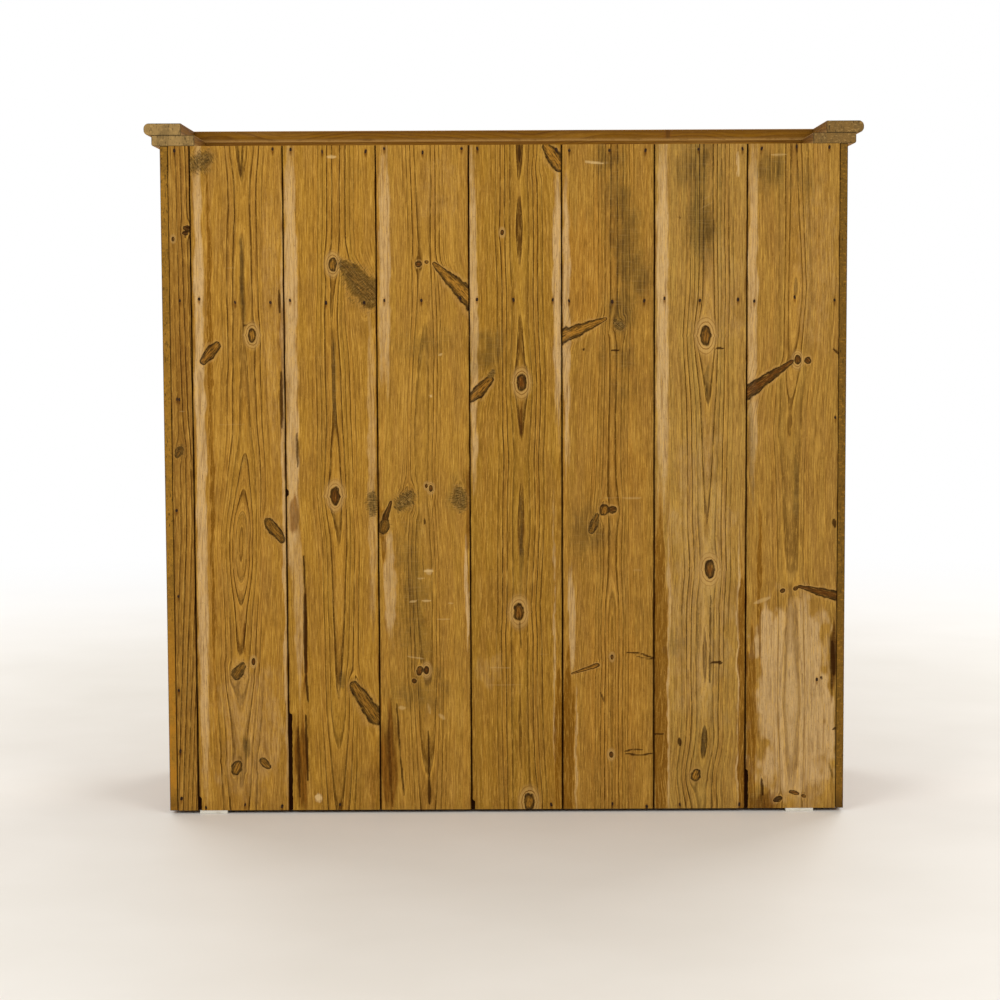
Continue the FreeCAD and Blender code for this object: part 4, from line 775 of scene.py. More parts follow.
# %% Marks, and all that a board's points carry
def mark_values(order, half, u, z):
    """Light marks as positive numbers and dark ones as negative: the strokes, and the joints' dirt."""
    marks = np.zeros(u.shape)
    shaken_u = u + 0.5 * drift(u, z, 9, 9, 107)
    for kind, u0, z0, u1, z1, half_width, strength in MARKS[order]:
        _, _, share, off_u, off_z = beside((u0, z0, u1, z1), shaken_u, z)
        width = half_width * (0.55 + 0.75 * np.sin(math.pi * (0.08 + 0.84 * share)))
        mark = strength * np.clip(1.7 - 0.7 * np.hypot(off_u, off_z) / width, 0, 1)
        marks = np.where(mark > np.abs(marks), kind * mark, marks)
    to_edge = half - np.abs(u)
    dirt = np.clip(1.4 - to_edge / 1.3, 0, 1) * (0.52 - 0.2 * z / 1200)
    dirt = dirt * (1 + 0.25 * drift(u, z, 900, 60, 113 + order))
    return np.where(dirt > np.abs(marks), -dirt, marks)


def grain(order, middle, half, u, z, deep):
    """What the points of one board carry for its finish, as {name: (kind of attribute, values)}.

    All lengths are in millimetres: u across from the face's middle, z up, deep behind the face.
    """
    moved, nearest, tone, in_knot, eye = round_the_knots(order, u, z)
    ring, crisp = ring_numbers(order, moved, u, z, deep)
    stains = stain_values(order, middle, half, u, z)
    return {
        "growth": ("FLOAT_COLOR", np.stack([ring, nearest, tone, crisp], axis=-1)),
        "in_knot": ("FLOAT_VECTOR", np.moveaxis(in_knot, 0, -1)),
        "stains": ("FLOAT_COLOR", np.moveaxis(stains, 0, -1)),
        "marks": ("FLOAT", mark_values(order, half, u, z)),
        "eye": ("FLOAT", eye),
    }


sample_u, sample_z = np.array([[-60.0, 0.0, 60.0]]), np.array([[600.0]]) + np.zeros((1, 3))
sample = grain(2, 0.0, 82.0, sample_u, sample_z, np.zeros((1, 3)))
print("board 2 at 600 mm up, rings at -60, 0 and 60 mm:", sample["growth"][1][0, :, 0].round(1).tolist())

# %% [markdown]
# ## The shape of a back board
#
# A board's section is a closed loop: the back face, the tongue on one edge, the inner face, the
# groove on the other edge. It could be a box with a tongue joined on, but one loop carried up the
# board gives a single closed skin whose edges can wander. Some boards have lost part of the thin
# lip over their groove, and there the next board's tongue shows.

# %% Broken lips and section
# Each break: from height, to height, and how much of the lip is gone, in millimetres.
BREAKS = {
    2: [(-20, 32, 4.4)],
    3: [(-20, 184, 5.0), (576, 590, 4.0)],
    5: [(-20, 24, 5.0)],
    8: [(-20, 78, 4.6)],
}
FACE_STEP = 2.1
UP_STEP = 2.4
INNER_STEP = 6.5
ARRIS = 0.6
CUP = 0.25
LEFT, RIGHT = 0, 1


def section(order):
    """The loop of a board's section as rows of (edge, offset across, y), in millimetres.

    Offsets are from the left or the right edge of the face, positive to the right. The back face
    has its own columns between its two arrises.
    """
    face, inner = BACK_FACE / MM, INNER_FACE / MM
    right = [(RIGHT, -0.3, face - 0.35), (RIGHT, 0.0, face - 1.1)]
    if order < BOARD_COUNT:
        out, low, high = TONGUE_OUT / MM, TONGUE_INNER / MM, TONGUE_OUTER / MM
        right += [(RIGHT, 0.0, high), (RIGHT, out - ARRIS, high), (RIGHT, out, high - ARRIS),
                  (RIGHT, out, low + ARRIS), (RIGHT, out - ARRIS, low), (RIGHT, 0.0, low)]
    right += [(RIGHT, 0.0, inner + ARRIS), (RIGHT, -ARRIS, inner)]
    left = [(LEFT, ARRIS, inner), (LEFT, 0.0, inner + ARRIS)]
    if order > 1:
        deep, low, high = GROOVE_DEEP / MM, GROOVE_INNER / MM, GROOVE_OUTER / MM
        left += [(LEFT, 0.0, low), (LEFT, deep, low), (LEFT, deep, high), (LEFT, 0.0, high)]
    left += [(LEFT, 0.0, face - 1.1), (LEFT, 0.3, face - 0.35)]
    return right, left


print("the edges of board 2 have", sum(len(edge) for edge in section(2)), "points in its section")


# %% The skin of a board
def back_board(strip):
    """The skin of one back board: its section carried up the board, in rows and columns.

    Returns the points in metres, and u, z and the depth behind the face in millimetres. The face is
    cupped by CUP (u / half)², and the lip over the groove ends where it wandered or broke off.
    """
    half = (strip.left - strip.right) / 2 / MM
    middle = (strip.left + strip.right) / 2
    rows = int(round((strip.head - strip.foot) / MM / UP_STEP)) + 1
    z = np.linspace(strip.foot, strip.head, rows)[:, None] / MM
    right, left = section(strip.order)

    lip = 0.35 * drift(0 * z, z, 1, 23, 120 + strip.order)
    for foot, head, gone in BREAKS.get(strip.order, []):
        inside = np.clip(np.minimum(z - foot, head - z) / 3.0, 0, 1)
        lip = lip + inside * (gone + 0.7 * drift(0 * z, z, 1, 6, 130))
    far_edge = half + 0.1 + 0.3 * drift(0 * z, z, 1, 31, 140 + strip.order)
    lip = np.maximum(lip - 0.15, -0.35)

    count = int(round(2 * half / FACE_STEP))
    share = np.linspace(0, 1, count)[None, :]
    near = -half + lip + 0.9
    face_u = near + share * (far_edge - 0.9 - near)
    face_y = np.broadcast_to(BACK_FACE / MM, face_u.shape)
    face_y = face_y - CUP * (face_u / half) ** 2 - 0.06 + 0.06 * drift(face_u, z, 18, 120, 150 + strip.order)

    def edge_points(loop):
        """Columns of the loop beside an edge. Only the lip over the groove follows the breaks."""
        columns_u, columns_y = [], []
        for edge, offset, y in loop:
            over_groove = edge == LEFT and offset < 1 and y >= GROOVE_OUTER / MM
            over_tongue = edge == RIGHT and y > TONGUE_OUTER / MM
            start = far_edge if over_tongue else (half if edge == RIGHT else -half)
            columns_u.append(start + offset + (lip if over_groove else 0 * z))
            columns_y.append(y + 0 * z)
        return np.hstack(columns_u), np.hstack(columns_y)

    right_u, right_y = edge_points(right)
    left_u, left_y = edge_points(left)
    inner_share = np.linspace(0, 1, max(int(round(2 * half / INNER_STEP)), 3))[None, 1:-1]
    inner_u = half - ARRIS - inner_share * (2 * half - 2 * ARRIS) + 0 * z
    inner_y = np.full(inner_u.shape, INNER_FACE / MM)
    u = np.hstack([face_u, right_u, inner_u, left_u])
    y = np.hstack([face_y, right_y, inner_y, left_y])
    up = np.broadcast_to(z, u.shape)
    points = np.stack([middle - u * MM, y * MM, up * MM], axis=-1)
    return points, u, up, BACK_FACE / MM - y


def carried(points, name):
    """A mesh from a closed loop of points carried along rows, with an end face on the first and last row."""
    rows, columns = points.shape[:2]
    index = np.arange(rows * columns).reshape(rows, columns)
    a, b = index[:-1], index[1:]
    quads = np.stack([a, np.roll(a, -1, 1), np.roll(b, -1, 1), b], axis=-1).reshape(-1, 4)
    mesh = bpy.data.meshes.new(name)
    ends = [index[0][::-1].tolist(), index[-1].tolist()]
    mesh.from_pydata(points.reshape(-1, 3).tolist(), [], quads.tolist() + ends)
    return mesh


for strip in STRIPS[:2]:
    print("the skin of board", strip.order, "has rows and columns", back_board(strip)[0].shape[:2])

# %% [markdown]
# Three small helpers serve every piece that follows: one hands an array to the mesh's points, where
# a finish can read it; one finishes an object, which takes its material, rides its body and stands
# for the frame's nodes that it dresses; and one reads a mesh's points back as an array.


# %% Values and places
def add_values(mesh, name, kind, values):
    """Puts an array on the mesh's points as an attribute that a material can read."""
    layer = mesh.attributes.new(name, kind, "POINT")
    field = {"FLOAT_COLOR": "color", "FLOAT_VECTOR": "vector", "FLOAT": "value"}[kind]
    layer.data.foreach_set(field, np.ascontiguousarray(values, dtype=np.float32).ravel())


def placed(name, mesh, material, body, slot, *nodes):
    """An object at the origin with its material, riding its body and standing for its nodes."""
    made = bpy.data.objects.new(name, mesh)
    bpy.context.scene.collection.objects.link(made)
    mesh.materials.clear()
    mesh.materials.append(material)
    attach(made, body)
    if nodes:
        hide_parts(*nodes)
    return made


def mesh_points(mesh):
    """The mesh's points as an array of x, y and z."""
    spots = np.empty(len(mesh.vertices) * 3, np.float32)
    mesh.vertices.foreach_get("co", spots)
    return spots.reshape(-1, 3).astype(float)


print("the frame's first back board has", len(mesh_points(frame["nodes"]["back_board_1"].data)), "points")

# %% [markdown]
# ## The finish of the old back
#
# Each ring starts pale in spring and ends in a hard dark line in late summer. Lines could be
# painted along each board, but a finish that reads the ring number needs only its fraction, which
# is the place within the ring, and its whole part, which picks how dark that year's line is. The
# finish is laid in the order in which the wood came by it: rings, fibres, stains, knots, marks.

# %% What every layer reads
LATE_LINE = [(0.0, 0.5), (0.04, 0.0), (0.45, 0.03), (0.66, 0.16), (0.76, 0.5), (0.82, 1.0), (0.96, 1.0),
             (1.0, 0.8)]


def late_wood(pine, ring, line, faintest, darkest):
    """How dark each place is within its ring, and a share of chance for each year.

    line gives the darkness by the place within the ring, from the spring to the end of the summer.
    """
    whole, within = pine.math("FLOOR", ring), pine.math("FRACT", ring)
    year = pine.node("ShaderNodeTexWhiteNoise", {"W": whole}, noise_dimensions="1D").outputs[0]
    return pine.times(pine.shades(within, line), pine.ease(year, 0.0, 1.0, faintest, darkest)), year


def read_back(pine):
    """The values that a board's points carry, and the chance patterns that the layers share."""
    place = pine.object_place()
    _, y, z = pine.parts(place)
    growth, stains = pine.attribute("growth"), pine.attribute("stains")
    ring, knot, tone = pine.hues(growth[0])
    pale, brown, grey = pine.hues(stains[0])
    with_rings = pine.joined(ring, pine.times(y, 200.0), pine.times(z, 10.0))
    return SimpleNamespace(
        place=place, y=y, ring=ring, knot=knot, tone=tone, crisp=growth["Alpha"],
        pale=pale, brown=brown, grey=grey, orange=stains["Alpha"],
        in_knot=pine.attribute("in_knot")[1], mark=pine.attribute("marks")[2], eye=pine.attribute("eye")[2],
        fibre=pine.grains(with_rings, (0.34, 1.0, 0.9)),
        band=pine.grains(with_rings, (1.6, 1.0, 3.0)),
        hair=pine.grains(place, (1.5 * MM, 3 * MM, 26 * MM)),
        cloud=pine.grains(place, (24 * MM, 60 * MM, 120 * MM), 4.0),
        ragged=pine.grains(place, (5 * MM, 9 * MM, 14 * MM), 4.0, 0.7),
        speck=pine.grains(place, (2.6 * MM, 5 * MM, 4.5 * MM), 3.0, 0.7),
    )


print("a ring's line has", len(LATE_LINE), "stops from spring to winter")

# %% [markdown]
# The bare wood comes first. Heartwood glows orange where the list says so, sapwood is pale, and
# both lie under the ring lines, because the same dark line runs through sapwood and heartwood,
# only fainter in the pale part. Then come the fibres. They follow the ring number too, so they
# bend round the knots with the rings, while the finest hairs run straight up the board.


# %% Rings and fibres
FAINTEST_YEAR, DARKEST_YEAR = 0.6, 1.0
print("a year's dark line has from", FAINTEST_YEAR, "to", DARKEST_YEAR, "of its full darkness")


def ringed(pine, old, spring, summer, dull):
    """The colour of the bare wood with its ring lines, and how much of each place is late wood."""
    wavy_ring = pine.plus(old.ring, pine.about(old.hair, 0.12))
    late, year = late_wood(pine, wavy_ring, LATE_LINE, FAINTEST_YEAR, DARKEST_YEAR)
    late = pine.times(late, pine.ease(old.band, 0.3, 0.55, 0.75, 1.15), old.crisp)
    early = pine.times(pine.ease(pine.math("FRACT", old.ring), 0.02, 0.3, 1.0, 0.0), old.crisp)
    sapwood = pine.ease(pine.plus(old.pale, pine.about(old.ragged, 0.6)), 0.12, 1.1, 0.0, 0.86)
    resin_band = pine.ease(pine.plus(old.orange, pine.about(old.ragged, 0.2)), 0.42, 0.6)
    line_colour = pine.mix(pine.times(sapwood, 0.8), summer, paint(148, 112, 58))
    colour = pine.over(
        spring,
        (pine.times(pine.ease(year, 0.3, 1.0), 0.4), paint(176, 122, 36)),
        (pine.ease(old.orange, 0.05, 0.7, 0.0, 0.5), paint(178, 118, 24)),
        (pine.ease(old.cloud, 0.34, 0.62, 0.5, 0.0), paint(136, 94, 32)),
        (pine.ease(old.cloud, 0.54, 0.75, 0.0, 0.35), paint(196, 150, 66)),
        (dull, paint(160, 136, 100)),
        (sapwood, paint(196, 162, 112)),
        (pine.times(early, 0.3), paint(204, 154, 62)),
        (late, line_colour),
        (pine.times(resin_band, 0.8), paint(104, 64, 0)),
    )
    return colour, late


def fibred(pine, old, colour):
    """Fibres, hairs and specks, each as its dark part and its light part."""
    return pine.over(
        colour,
        (pine.ease(old.fibre, 0.3, 0.55, 0.5, 0.0), paint(104, 68, 18)),
        (pine.ease(old.fibre, 0.54, 0.74, 0.0, 0.4), paint(206, 160, 76)),
        (pine.ease(old.hair, 0.3, 0.5, 0.5, 0.0), paint(94, 60, 14)),
        (pine.ease(old.hair, 0.52, 0.68, 0.0, 0.44), paint(204, 156, 68)),
        (pine.ease(old.speck, 0.56, 0.74, 0.0, 0.5), paint(92, 60, 20)),
        (pine.ease(old.speck, 0.28, 0.42, 0.3, 0.0), paint(196, 150, 68)),
    )


# %% [markdown]
# Grey damp and brown dirt are see-through, like a wash, so they multiply the wood's colour and the
# fibres still show in them. Where the wood is grey it was never planed clean, and the marks of the
# saw stand across it as fine pale ripples.


# %% Damp, dirt and saw marks
SAW_MARK = (26 * MM, 30 * MM, 1.8 * MM)
print("a saw mark is about", SAW_MARK[0] / MM, "mm across and", SAW_MARK[2] / MM, "mm high")


def stained(pine, old, colour):
    """The colour with its grey and brown washes, and how grey each place is."""
    torn = pine.plus(pine.about(old.ragged, 0.9), pine.about(old.fibre, 0.6))
    smudge = pine.ease(pine.plus(old.grey, torn), 0.05, 1.2)
    grey_wash = pine.mix(pine.ease(old.fibre, 0.3, 0.7), paint(150, 146, 122), paint(222, 220, 206))
    colour = pine.mix(pine.times(smudge, 0.95), colour, grey_wash, "MULTIPLY")
    colour = pine.mix(pine.times(smudge, 0.14), colour, paint(104, 88, 54))
    run = pine.ease(pine.plus(old.brown, pine.about(old.ragged, 0.7), pine.about(old.fibre, 0.5)), 0.12, 1.0)
    brown_wash = pine.mix(old.fibre, paint(104, 86, 52), paint(208, 176, 126))
    return pine.mix(pine.times(run, 0.92), colour, brown_wash, "MULTIPLY"), smudge


def sawn(pine, old, colour, smudge):
    """Pale ripples across the board, strongest where it is grey."""
    chatter = pine.grains(old.place, SAW_MARK)
    amount = pine.times(pine.ease(smudge, 0.1, 0.5, 0.12, 1.0), pine.ease(chatter, 0.5, 0.8, 0.0, 0.12))
    return pine.mix(amount, colour, paint(206, 170, 108))


# %% [markdown]
# A knot is darker than the wood round it, and harder. Its heart has fibres and rings of its own,
# which read the place along and across the knot. Dark bark lines its rim, and the wood that grew
# round it shows as pale and dark curled rings. A grey knot is the loose, fibrous kind: it has no
# clear rim, only hairs that fade into the board.


# %% Knots
HEART_RINGS = 2.9
CURLED_RINGS = 1.667
print("to each radius: rings inside a knot", HEART_RINGS, "and curled rings round an eye", CURLED_RINGS)


def knot_heart(pine, old, rough, blob, hairs):
    """The colour inside a knot: a core that turns to bark towards the rim, with streaks and rings."""
    streak = pine.grains(old.in_knot, (15, 1.7, 1.0))
    core = pine.ramp(old.tone, [
        (0.0, paint(128, 100, 50)), (0.3, paint(98, 64, 16)), (0.52, paint(160, 110, 36)),
        (0.75, paint(96, 50, 8)), (1.0, paint(48, 28, 10)),
    ])
    bark = pine.ramp(old.tone, [
        (0.0, paint(92, 74, 38)), (0.35, paint(76, 54, 18)), (0.55, paint(66, 44, 12)),
        (0.75, paint(48, 28, 6)), (1.0, paint(30, 16, 4)),
    ])
    is_grey = pine.ease(old.tone, 0.1, 0.5, 1.0, 0.0)
    return pine.over(
        core,
        (pine.ease(pine.plus(rough, pine.about(blob, 1.2)), 0.2, 0.82), bark),
        (pine.ease(streak, 0.38, 0.54, 0.9, 0.0), paint(50, 32, 8)),
        (pine.ease(streak, 0.54, 0.68, 0.0, 0.5), paint(176, 128, 56)),
        (pine.ease(pine.zigzag(pine.times(rough, HEART_RINGS)), 0.34, 0.5, 0.0, 0.4), paint(44, 26, 8)),
        (pine.times(pine.ease(hairs, 0.5, 0.6, 0.0, 0.9), is_grey), paint(56, 42, 16)),
        (pine.times(pine.ease(hairs, 0.36, 0.46, 0.4, 0.0), is_grey), paint(160, 128, 70)),
    )


def knotted(pine, old, colour):
    """The colour with its knots, and how far each place is inside one.

    rough is the distance from the knot in its own radii, so 1 is its rim, with a ragged outline.
    """
    rough = pine.plus(old.knot, pine.about(old.ragged, 0.26), pine.about(old.speck, 0.16))
    blob = pine.grains(old.in_knot, (8, 6, 1.0))
    hairs = pine.grains(old.in_knot, (1.5, 9, 1.0), 2.0)
    heart = knot_heart(pine, old, rough, blob, hairs)

    pale_round = pine.times(pine.hill(rough, 0.95, 1.15, 1.25, 1.8), pine.ease(old.tone, 0.2, 0.6, 0.4, 1.0))
    eye = pine.plus(old.eye, pine.about(old.ragged, 0.3), pine.about(old.cloud, 0.5))
    wrapped = pine.hill(eye, 0.95, 1.15, 1.6, 2.7)
    curl = pine.ease(pine.zigzag(pine.times(eye, CURLED_RINGS)), 0.3, 0.48)
    fuzz = pine.times(pine.hill(rough, 0.6, 1.0, 1.15, 2.0), pine.ease(hairs, 0.5, 0.62, 0.0, 0.85))
    edge_in = pine.ease(old.tone, 0.1, 0.45, 0.3, 0.86)
    edge_out = pine.ease(old.tone, 0.1, 0.45, 1.45, 1.06)
    inside = pine.ease(rough, edge_in, edge_out, 1.0, 0.0)
    rim = pine.times(pine.hill(rough, 0.66, 0.94, 1.0, 1.16), pine.ease(blob, 0.4, 0.6, 1.0, 0.35))
    colour = pine.over(
        colour,
        (pine.times(pale_round, pine.ease(old.band, 0.35, 0.6, 0.15, 0.5)), paint(178, 134, 70)),
        (pine.times(wrapped, 0.5), paint(180, 142, 82)),
        (pine.times(wrapped, curl, pine.ease(old.band, 0.35, 0.6, 1.0, 0.5)), paint(104, 66, 14)),
        (pine.times(fuzz, pine.ease(old.tone, 0.1, 0.6, 1.0, 0.1)), paint(76, 56, 22)),
        (pine.times(inside, 0.92), heart),
        (pine.times(rim, pine.ease(old.tone, 0.1, 0.4, 0.2, 1.0)), paint(40, 24, 6)),
    )
    return colour, inside


# %% [markdown]
# Marks and the dirt at the edges of the joints lie over everything else. The faces of tongue and
# groove inside the gaps between the boards get painted shade, nearly black. Last, the pattern is
# turned into height: late wood and knots stand proud, because years of scrubbing wear down the
# soft wood between them, and dark marks are cut in. Bare old pine has hardly any shine.

# %% Marks and the whole finish
JOINT_FROM, JOINT_TO = 228.6 * MM, 230.3 * MM
BACK_HALF_FROM, BACK_HALF_TO = 215.5 * MM, 219 * MM
BACK_RELIEF = 0.5 * MM
BARE_SHEEN = 0.04
print("relief of the back", BACK_RELIEF / MM, "mm, joints dark up to", JOINT_TO / MM, "mm")


def marked(pine, old, colour):
    """The colour with dark and light strokes, and how dark the strokes are."""
    dark = pine.ease(pine.plus(pine.times(old.mark, -1.0), pine.about(old.speck, 0.3)), 0.15, 0.75)
    light = pine.ease(pine.plus(old.mark, pine.about(old.speck, 0.4)), 0.2, 0.95)
    layers = (pine.times(dark, 0.88), paint(44, 20, 0)), (pine.times(light, 0.6), paint(208, 174, 116))
    return pine.over(colour, *layers), dark


def back_pine(order, spring, summer, dull):
    """The finish of one back board. spring and summer are its two wood colours, dull its greyness."""
    pine = Finish(f"back_pine_{order}")
    old = read_back(pine)
    colour, late = ringed(pine, old, spring, summer, dull)
    colour, smudge = stained(pine, old, fibred(pine, old, colour))
    colour, inside = knotted(pine, old, colour)
    colour, dark = marked(pine, old, sawn(pine, old, colour, smudge))
    # Painted shade: the faces behind the back face, inside the gaps between the boards, are darkened nearly
    # to black.
    behind_face = pine.ease(old.y, JOINT_FROM, JOINT_TO, 0.96, 0.0)
    painted_gap_shade = pine.times(behind_face, pine.ease(old.y, BACK_HALF_FROM, BACK_HALF_TO))
    colour = pine.mix(painted_gap_shade, colour, paint(34, 12, 0))

    height = pine.plus(pine.times(late, 0.6), pine.times(old.fibre, 0.7), pine.times(inside, 0.5))
    height = pine.minus(height, pine.times(dark, 0.8))
    height = pine.plus(height, pine.times(old.hair, 0.5), pine.about(old.speck, 0.4))
    roughness = pine.ease(pine.plus(late, old.cloud), 0.3, 1.6, 0.78, 0.58)
    return pine.shine(colour, roughness, height, BACK_RELIEF, Specular_IOR_Level=BARE_SHEEN)


# %% [markdown]
# The boards are now made one after the other, each with its own colours: the two on the right are
# paler and greyer than the rest, and the narrow one is the brownest.

# %% Back boards
SPRING = {1: (138, 94, 16), 2: (156, 110, 16), 3: (156, 112, 24), 4: (160, 116, 30), 5: (142, 102, 20),
          6: (144, 102, 22), 7: (154, 118, 42), 8: (146, 107, 30)}
SUMMER = {1: (60, 32, 0), 2: (68, 38, 0), 3: (66, 38, 0), 4: (76, 46, 2), 5: (58, 32, 0),
          6: (80, 50, 4), 7: (56, 34, 4), 8: (86, 56, 12)}
DULL = {1: 0.1, 2: 0.12, 3: 0.08, 4: 0.1, 5: 0.06, 6: 0.1, 7: 0.16, 8: 0.13}
SHARP_FROM = math.radians(35)

for strip in STRIPS:
    order = strip.order
    points, u, up, deep = back_board(strip)
    mesh = carried(points, f"back_board_{order}_sawn")
    half = (strip.left - strip.right) / 2 / MM
    middle = (strip.left + strip.right) / 2 / MM
    for name, (kind, values) in grain(order, middle, half, u, up, deep).items():
        add_values(mesh, name, kind, values)
    mesh.shade_smooth()
    mesh.set_sharp_from_angle(angle=SHARP_FROM)
    wood = back_pine(order, paint(*SPRING[order]), paint(*SUMMER[order]), DULL[order])
    placed(f"old_back_board_{order}", mesh, wood, "case", "back_pine", f"back_board_{order}")
    print("board", order, len(mesh.polygons), "faces")

# %% [markdown]
# ## The other boards
#
# Every other wooden part keeps the frame's shape and only needs its edges softened, because a real
# arris is never sharp. The frame's meshes stay as they are, so each is copied. The copy's loose
# triangles are joined into solids, the flat ones are merged into whole faces, and a small bevel is
# laid on the sharp edges. Each solid in a node is one board, and each gets its own grain: the
# place of every point within its own board is kept as an attribute, with the longest side as the
# direction of the grain.


# %% The solids in a node
WELD = 2e-6


def solids_in(node):
    """Points, triangles and the number of the solid that each point belongs to.

    Two triangles are of one solid where they share an edge that no third one has. The lowest
    triangle number is handed on over such edges until nothing changes. Where two boards of a node
    touch along an edge, hidden triangles of their joint come out as small pieces of their own.
    """
    mesh = frame["nodes"][node].data
    mesh.calc_loop_triangles()
    corners = np.empty(len(mesh.loop_triangles) * 3, np.int32)
    mesh.loop_triangles.foreach_get("vertices", corners)
    keys = np.round(mesh_points(mesh) / WELD).astype(np.int64)
    places, index = np.unique(keys, axis=0, return_inverse=True)
    triangles = index.ravel()[corners].reshape(-1, 3)
    triangles = triangles[(triangles[:, 0] != triangles[:, 1]) & (triangles[:, 1] != triangles[:, 2])
                          & (triangles[:, 0] != triangles[:, 2])]
    sides = np.sort(np.stack([triangles, np.roll(triangles, -1, 1)], axis=-1), axis=-1)
    _, edge, uses = np.unique(sides.reshape(-1, 2), axis=0, return_inverse=True, return_counts=True)
    edge = edge.reshape(-1, 3)
    label = np.arange(len(triangles))
    while True:
        lowest = np.full(len(uses), len(triangles))
        np.minimum.at(lowest, edge.ravel(), np.repeat(label, 3))
        lowest[uses != 2] = len(triangles)
        spread = np.minimum(label, lowest[edge].min(axis=1))
        if (spread == label).all():
            break
        label = spread
    pairs = np.stack([np.repeat(label, 3), triangles.ravel()], axis=1)
    owned, corner = np.unique(pairs, axis=0, return_inverse=True)
    _, solid = np.unique(owned[:, 0], return_inverse=True)
    return places[owned[:, 1]] * WELD, corner.reshape(-1, 3), solid.ravel()


side_points, _, side_solids = solids_in("side_left")
print("one side comes apart into", side_solids.max() + 1, "pieces, its two planks the largest")


# %% Places in a board
def board_places(points, solid, seed):
    """Each point's place in its own board, the board's half sizes, and its share of chance.

    A place is across, through and along the board from its middle. The axes are turned so that
    the longest side comes last. The share of chance is one number from 0 to 1 for a whole board.
    """
    chance = np.random.default_rng(seed)
    place, half, share = np.empty_like(points), np.empty_like(points), np.empty(len(points))
    for number in range(solid.max() + 1):
        own = solid == number
        low, high = points[own].min(axis=0), points[own].max(axis=0)
        axes = np.argsort(high - low)[[1, 0, 2]]
        place[own] = (points[own] - (low + high) / 2)[:, axes]
        half[own] = ((high - low) / 2)[axes]
        share[own] = chance.uniform()
    return place, half, share


side_halves = np.unique(board_places(side_points, side_solids, 0)[1], axis=0)
print("half sizes of the side's pieces in mm:", (side_halves / MM).round(1).tolist())

# %% Softened copies
FLAT_WITHIN = math.radians(0.6)
ARRIS_FROM = math.radians(40)
SOFT = 0.7 * MM
print("arrises of the boards are softened by", SOFT / MM, "mm")


def softened(name, node, material, body, slot, soft=SOFT):
    """A copy of a node with joined solids, whole faces, board places and a bevel on sharp edges."""
    points, triangles, solid = solids_in(node)
    mesh = bpy.data.meshes.new(name)
    mesh.from_pydata(points.tolist(), [], triangles.tolist())
    mesh.attributes.new("solid", "INT", "POINT").data.foreach_set("value", solid.astype(np.int32))
    shape = bmesh.new()
    shape.from_mesh(mesh)
    bmesh.ops.dissolve_limit(shape, angle_limit=FLAT_WITHIN, verts=shape.verts, edges=shape.edges)
    shape.to_mesh(mesh)
    shape.free()
    owner = np.empty(len(mesh.vertices), np.int32)
    mesh.attributes["solid"].data.foreach_get("value", owner)
    place, half, share = board_places(mesh_points(mesh), owner, sum(map(ord, node)))
    add_values(mesh, "board_place", "FLOAT_VECTOR", place)
    add_values(mesh, "board_half", "FLOAT_VECTOR", half)
    add_values(mesh, "board_share", "FLOAT", share)
    mesh.shade_smooth()
    made = placed(name, mesh, material, body, slot, node)
    bevel = made.modifiers.new("soft_arris", "BEVEL")
    bevel.width = soft
    bevel.segments = 2
    bevel.limit_method = "ANGLE"
    bevel.angle_limit = ARRIS_FROM
    bevel.use_clamp_overlap = True
    bevel.harden_normals = True
    return made


# %% [markdown]
# ## Waxed pine
#
# The front, the sides and the cornice are of the same wood as the back, but planed, stained by
# age and waxed. Here no list says where the pith runs. The rings are worked out in the finish
# itself: the distance from a pith line that lies under each board, in three dimensions, so that
# faces, edges and end grain fit together at every corner. Knots stand one to a cell of the board,
# and push the rings aside as they do on the back.

# %% Knots and rings of a planed board
RING_WIDE = 3.9 * MM
KNOT_CELL = (110 * MM, 110 * MM, 300 * MM)
SMALL_KNOT, LARGE_KNOT = 3 * MM, 9 * MM
SWING_ACROSS, SWING_THROUGH = 70 * MM, 35 * MM
PLANED_HEART_RINGS = 3.2


def cell_knots(pine, place, knot_share):
    """How far the nearest knot is in its own radii, how far across it lies, and its share of chance.

    knot_share says how many of the cells hold a knot. An empty cell's knot is moved out of reach.
    """
    cell = pine.stretch(place, KNOT_CELL)
    knots = pine.node("ShaderNodeTexVoronoi", {"Vector": cell, "Scale": 1.0, "Randomness": 0.9}).outputs
    off_across, _, off_along = pine.parts(pine.vector("SUBTRACT", cell, knots["Position"]))
    across = pine.times(off_across, KNOT_CELL[0])
    along = pine.times(off_along, KNOT_CELL[2])
    chance, rarity, size = pine.hues(knots["Color"])
    square = pine.plus(pine.times(across, across), pine.times(along, along, 0.55))
    reach = pine.math("DIVIDE", pine.math("SQRT", square), pine.ease(size, 0.0, 1.0, SMALL_KNOT, LARGE_KNOT))
    missing = pine.minus(1.0, pine.math("LESS_THAN", rarity, knot_share))
    return pine.plus(reach, pine.times(missing, 20.0)), across, chance


def planed_rings(pine, place, depth, reach, knot_across):
    """The ring number at each place of a board: √(side² + below²) / RING_WIDE.

    The pith line swings slowly along the board, and side is moved round a knot by the distance
    across it over reach².
    """
    slow = pine.node("ShaderNodeTexNoise", {"Vector": pine.stretch(place, (0.10, 0.10, 0.42)), "Scale": 1.0,
                                            "Detail": 2.0}).outputs[1]
    swing_across, swing_through, _ = pine.parts(pine.vector("SUBTRACT", slow, (0.5, 0.5, 0.5)))
    stream = pine.math("DIVIDE", knot_across, pine.math("MAXIMUM", pine.times(reach, reach), 0.6))
    across, through, _ = pine.parts(place)
    side = pine.minus(pine.plus(across, pine.times(swing_across, SWING_ACROSS)), stream)
    below = pine.plus(through, depth, pine.times(swing_through, SWING_THROUGH))
    distance = pine.math("SQRT", pine.plus(pine.times(side, side), pine.times(below, below)))
    return pine.math("DIVIDE", distance, RING_WIDE)


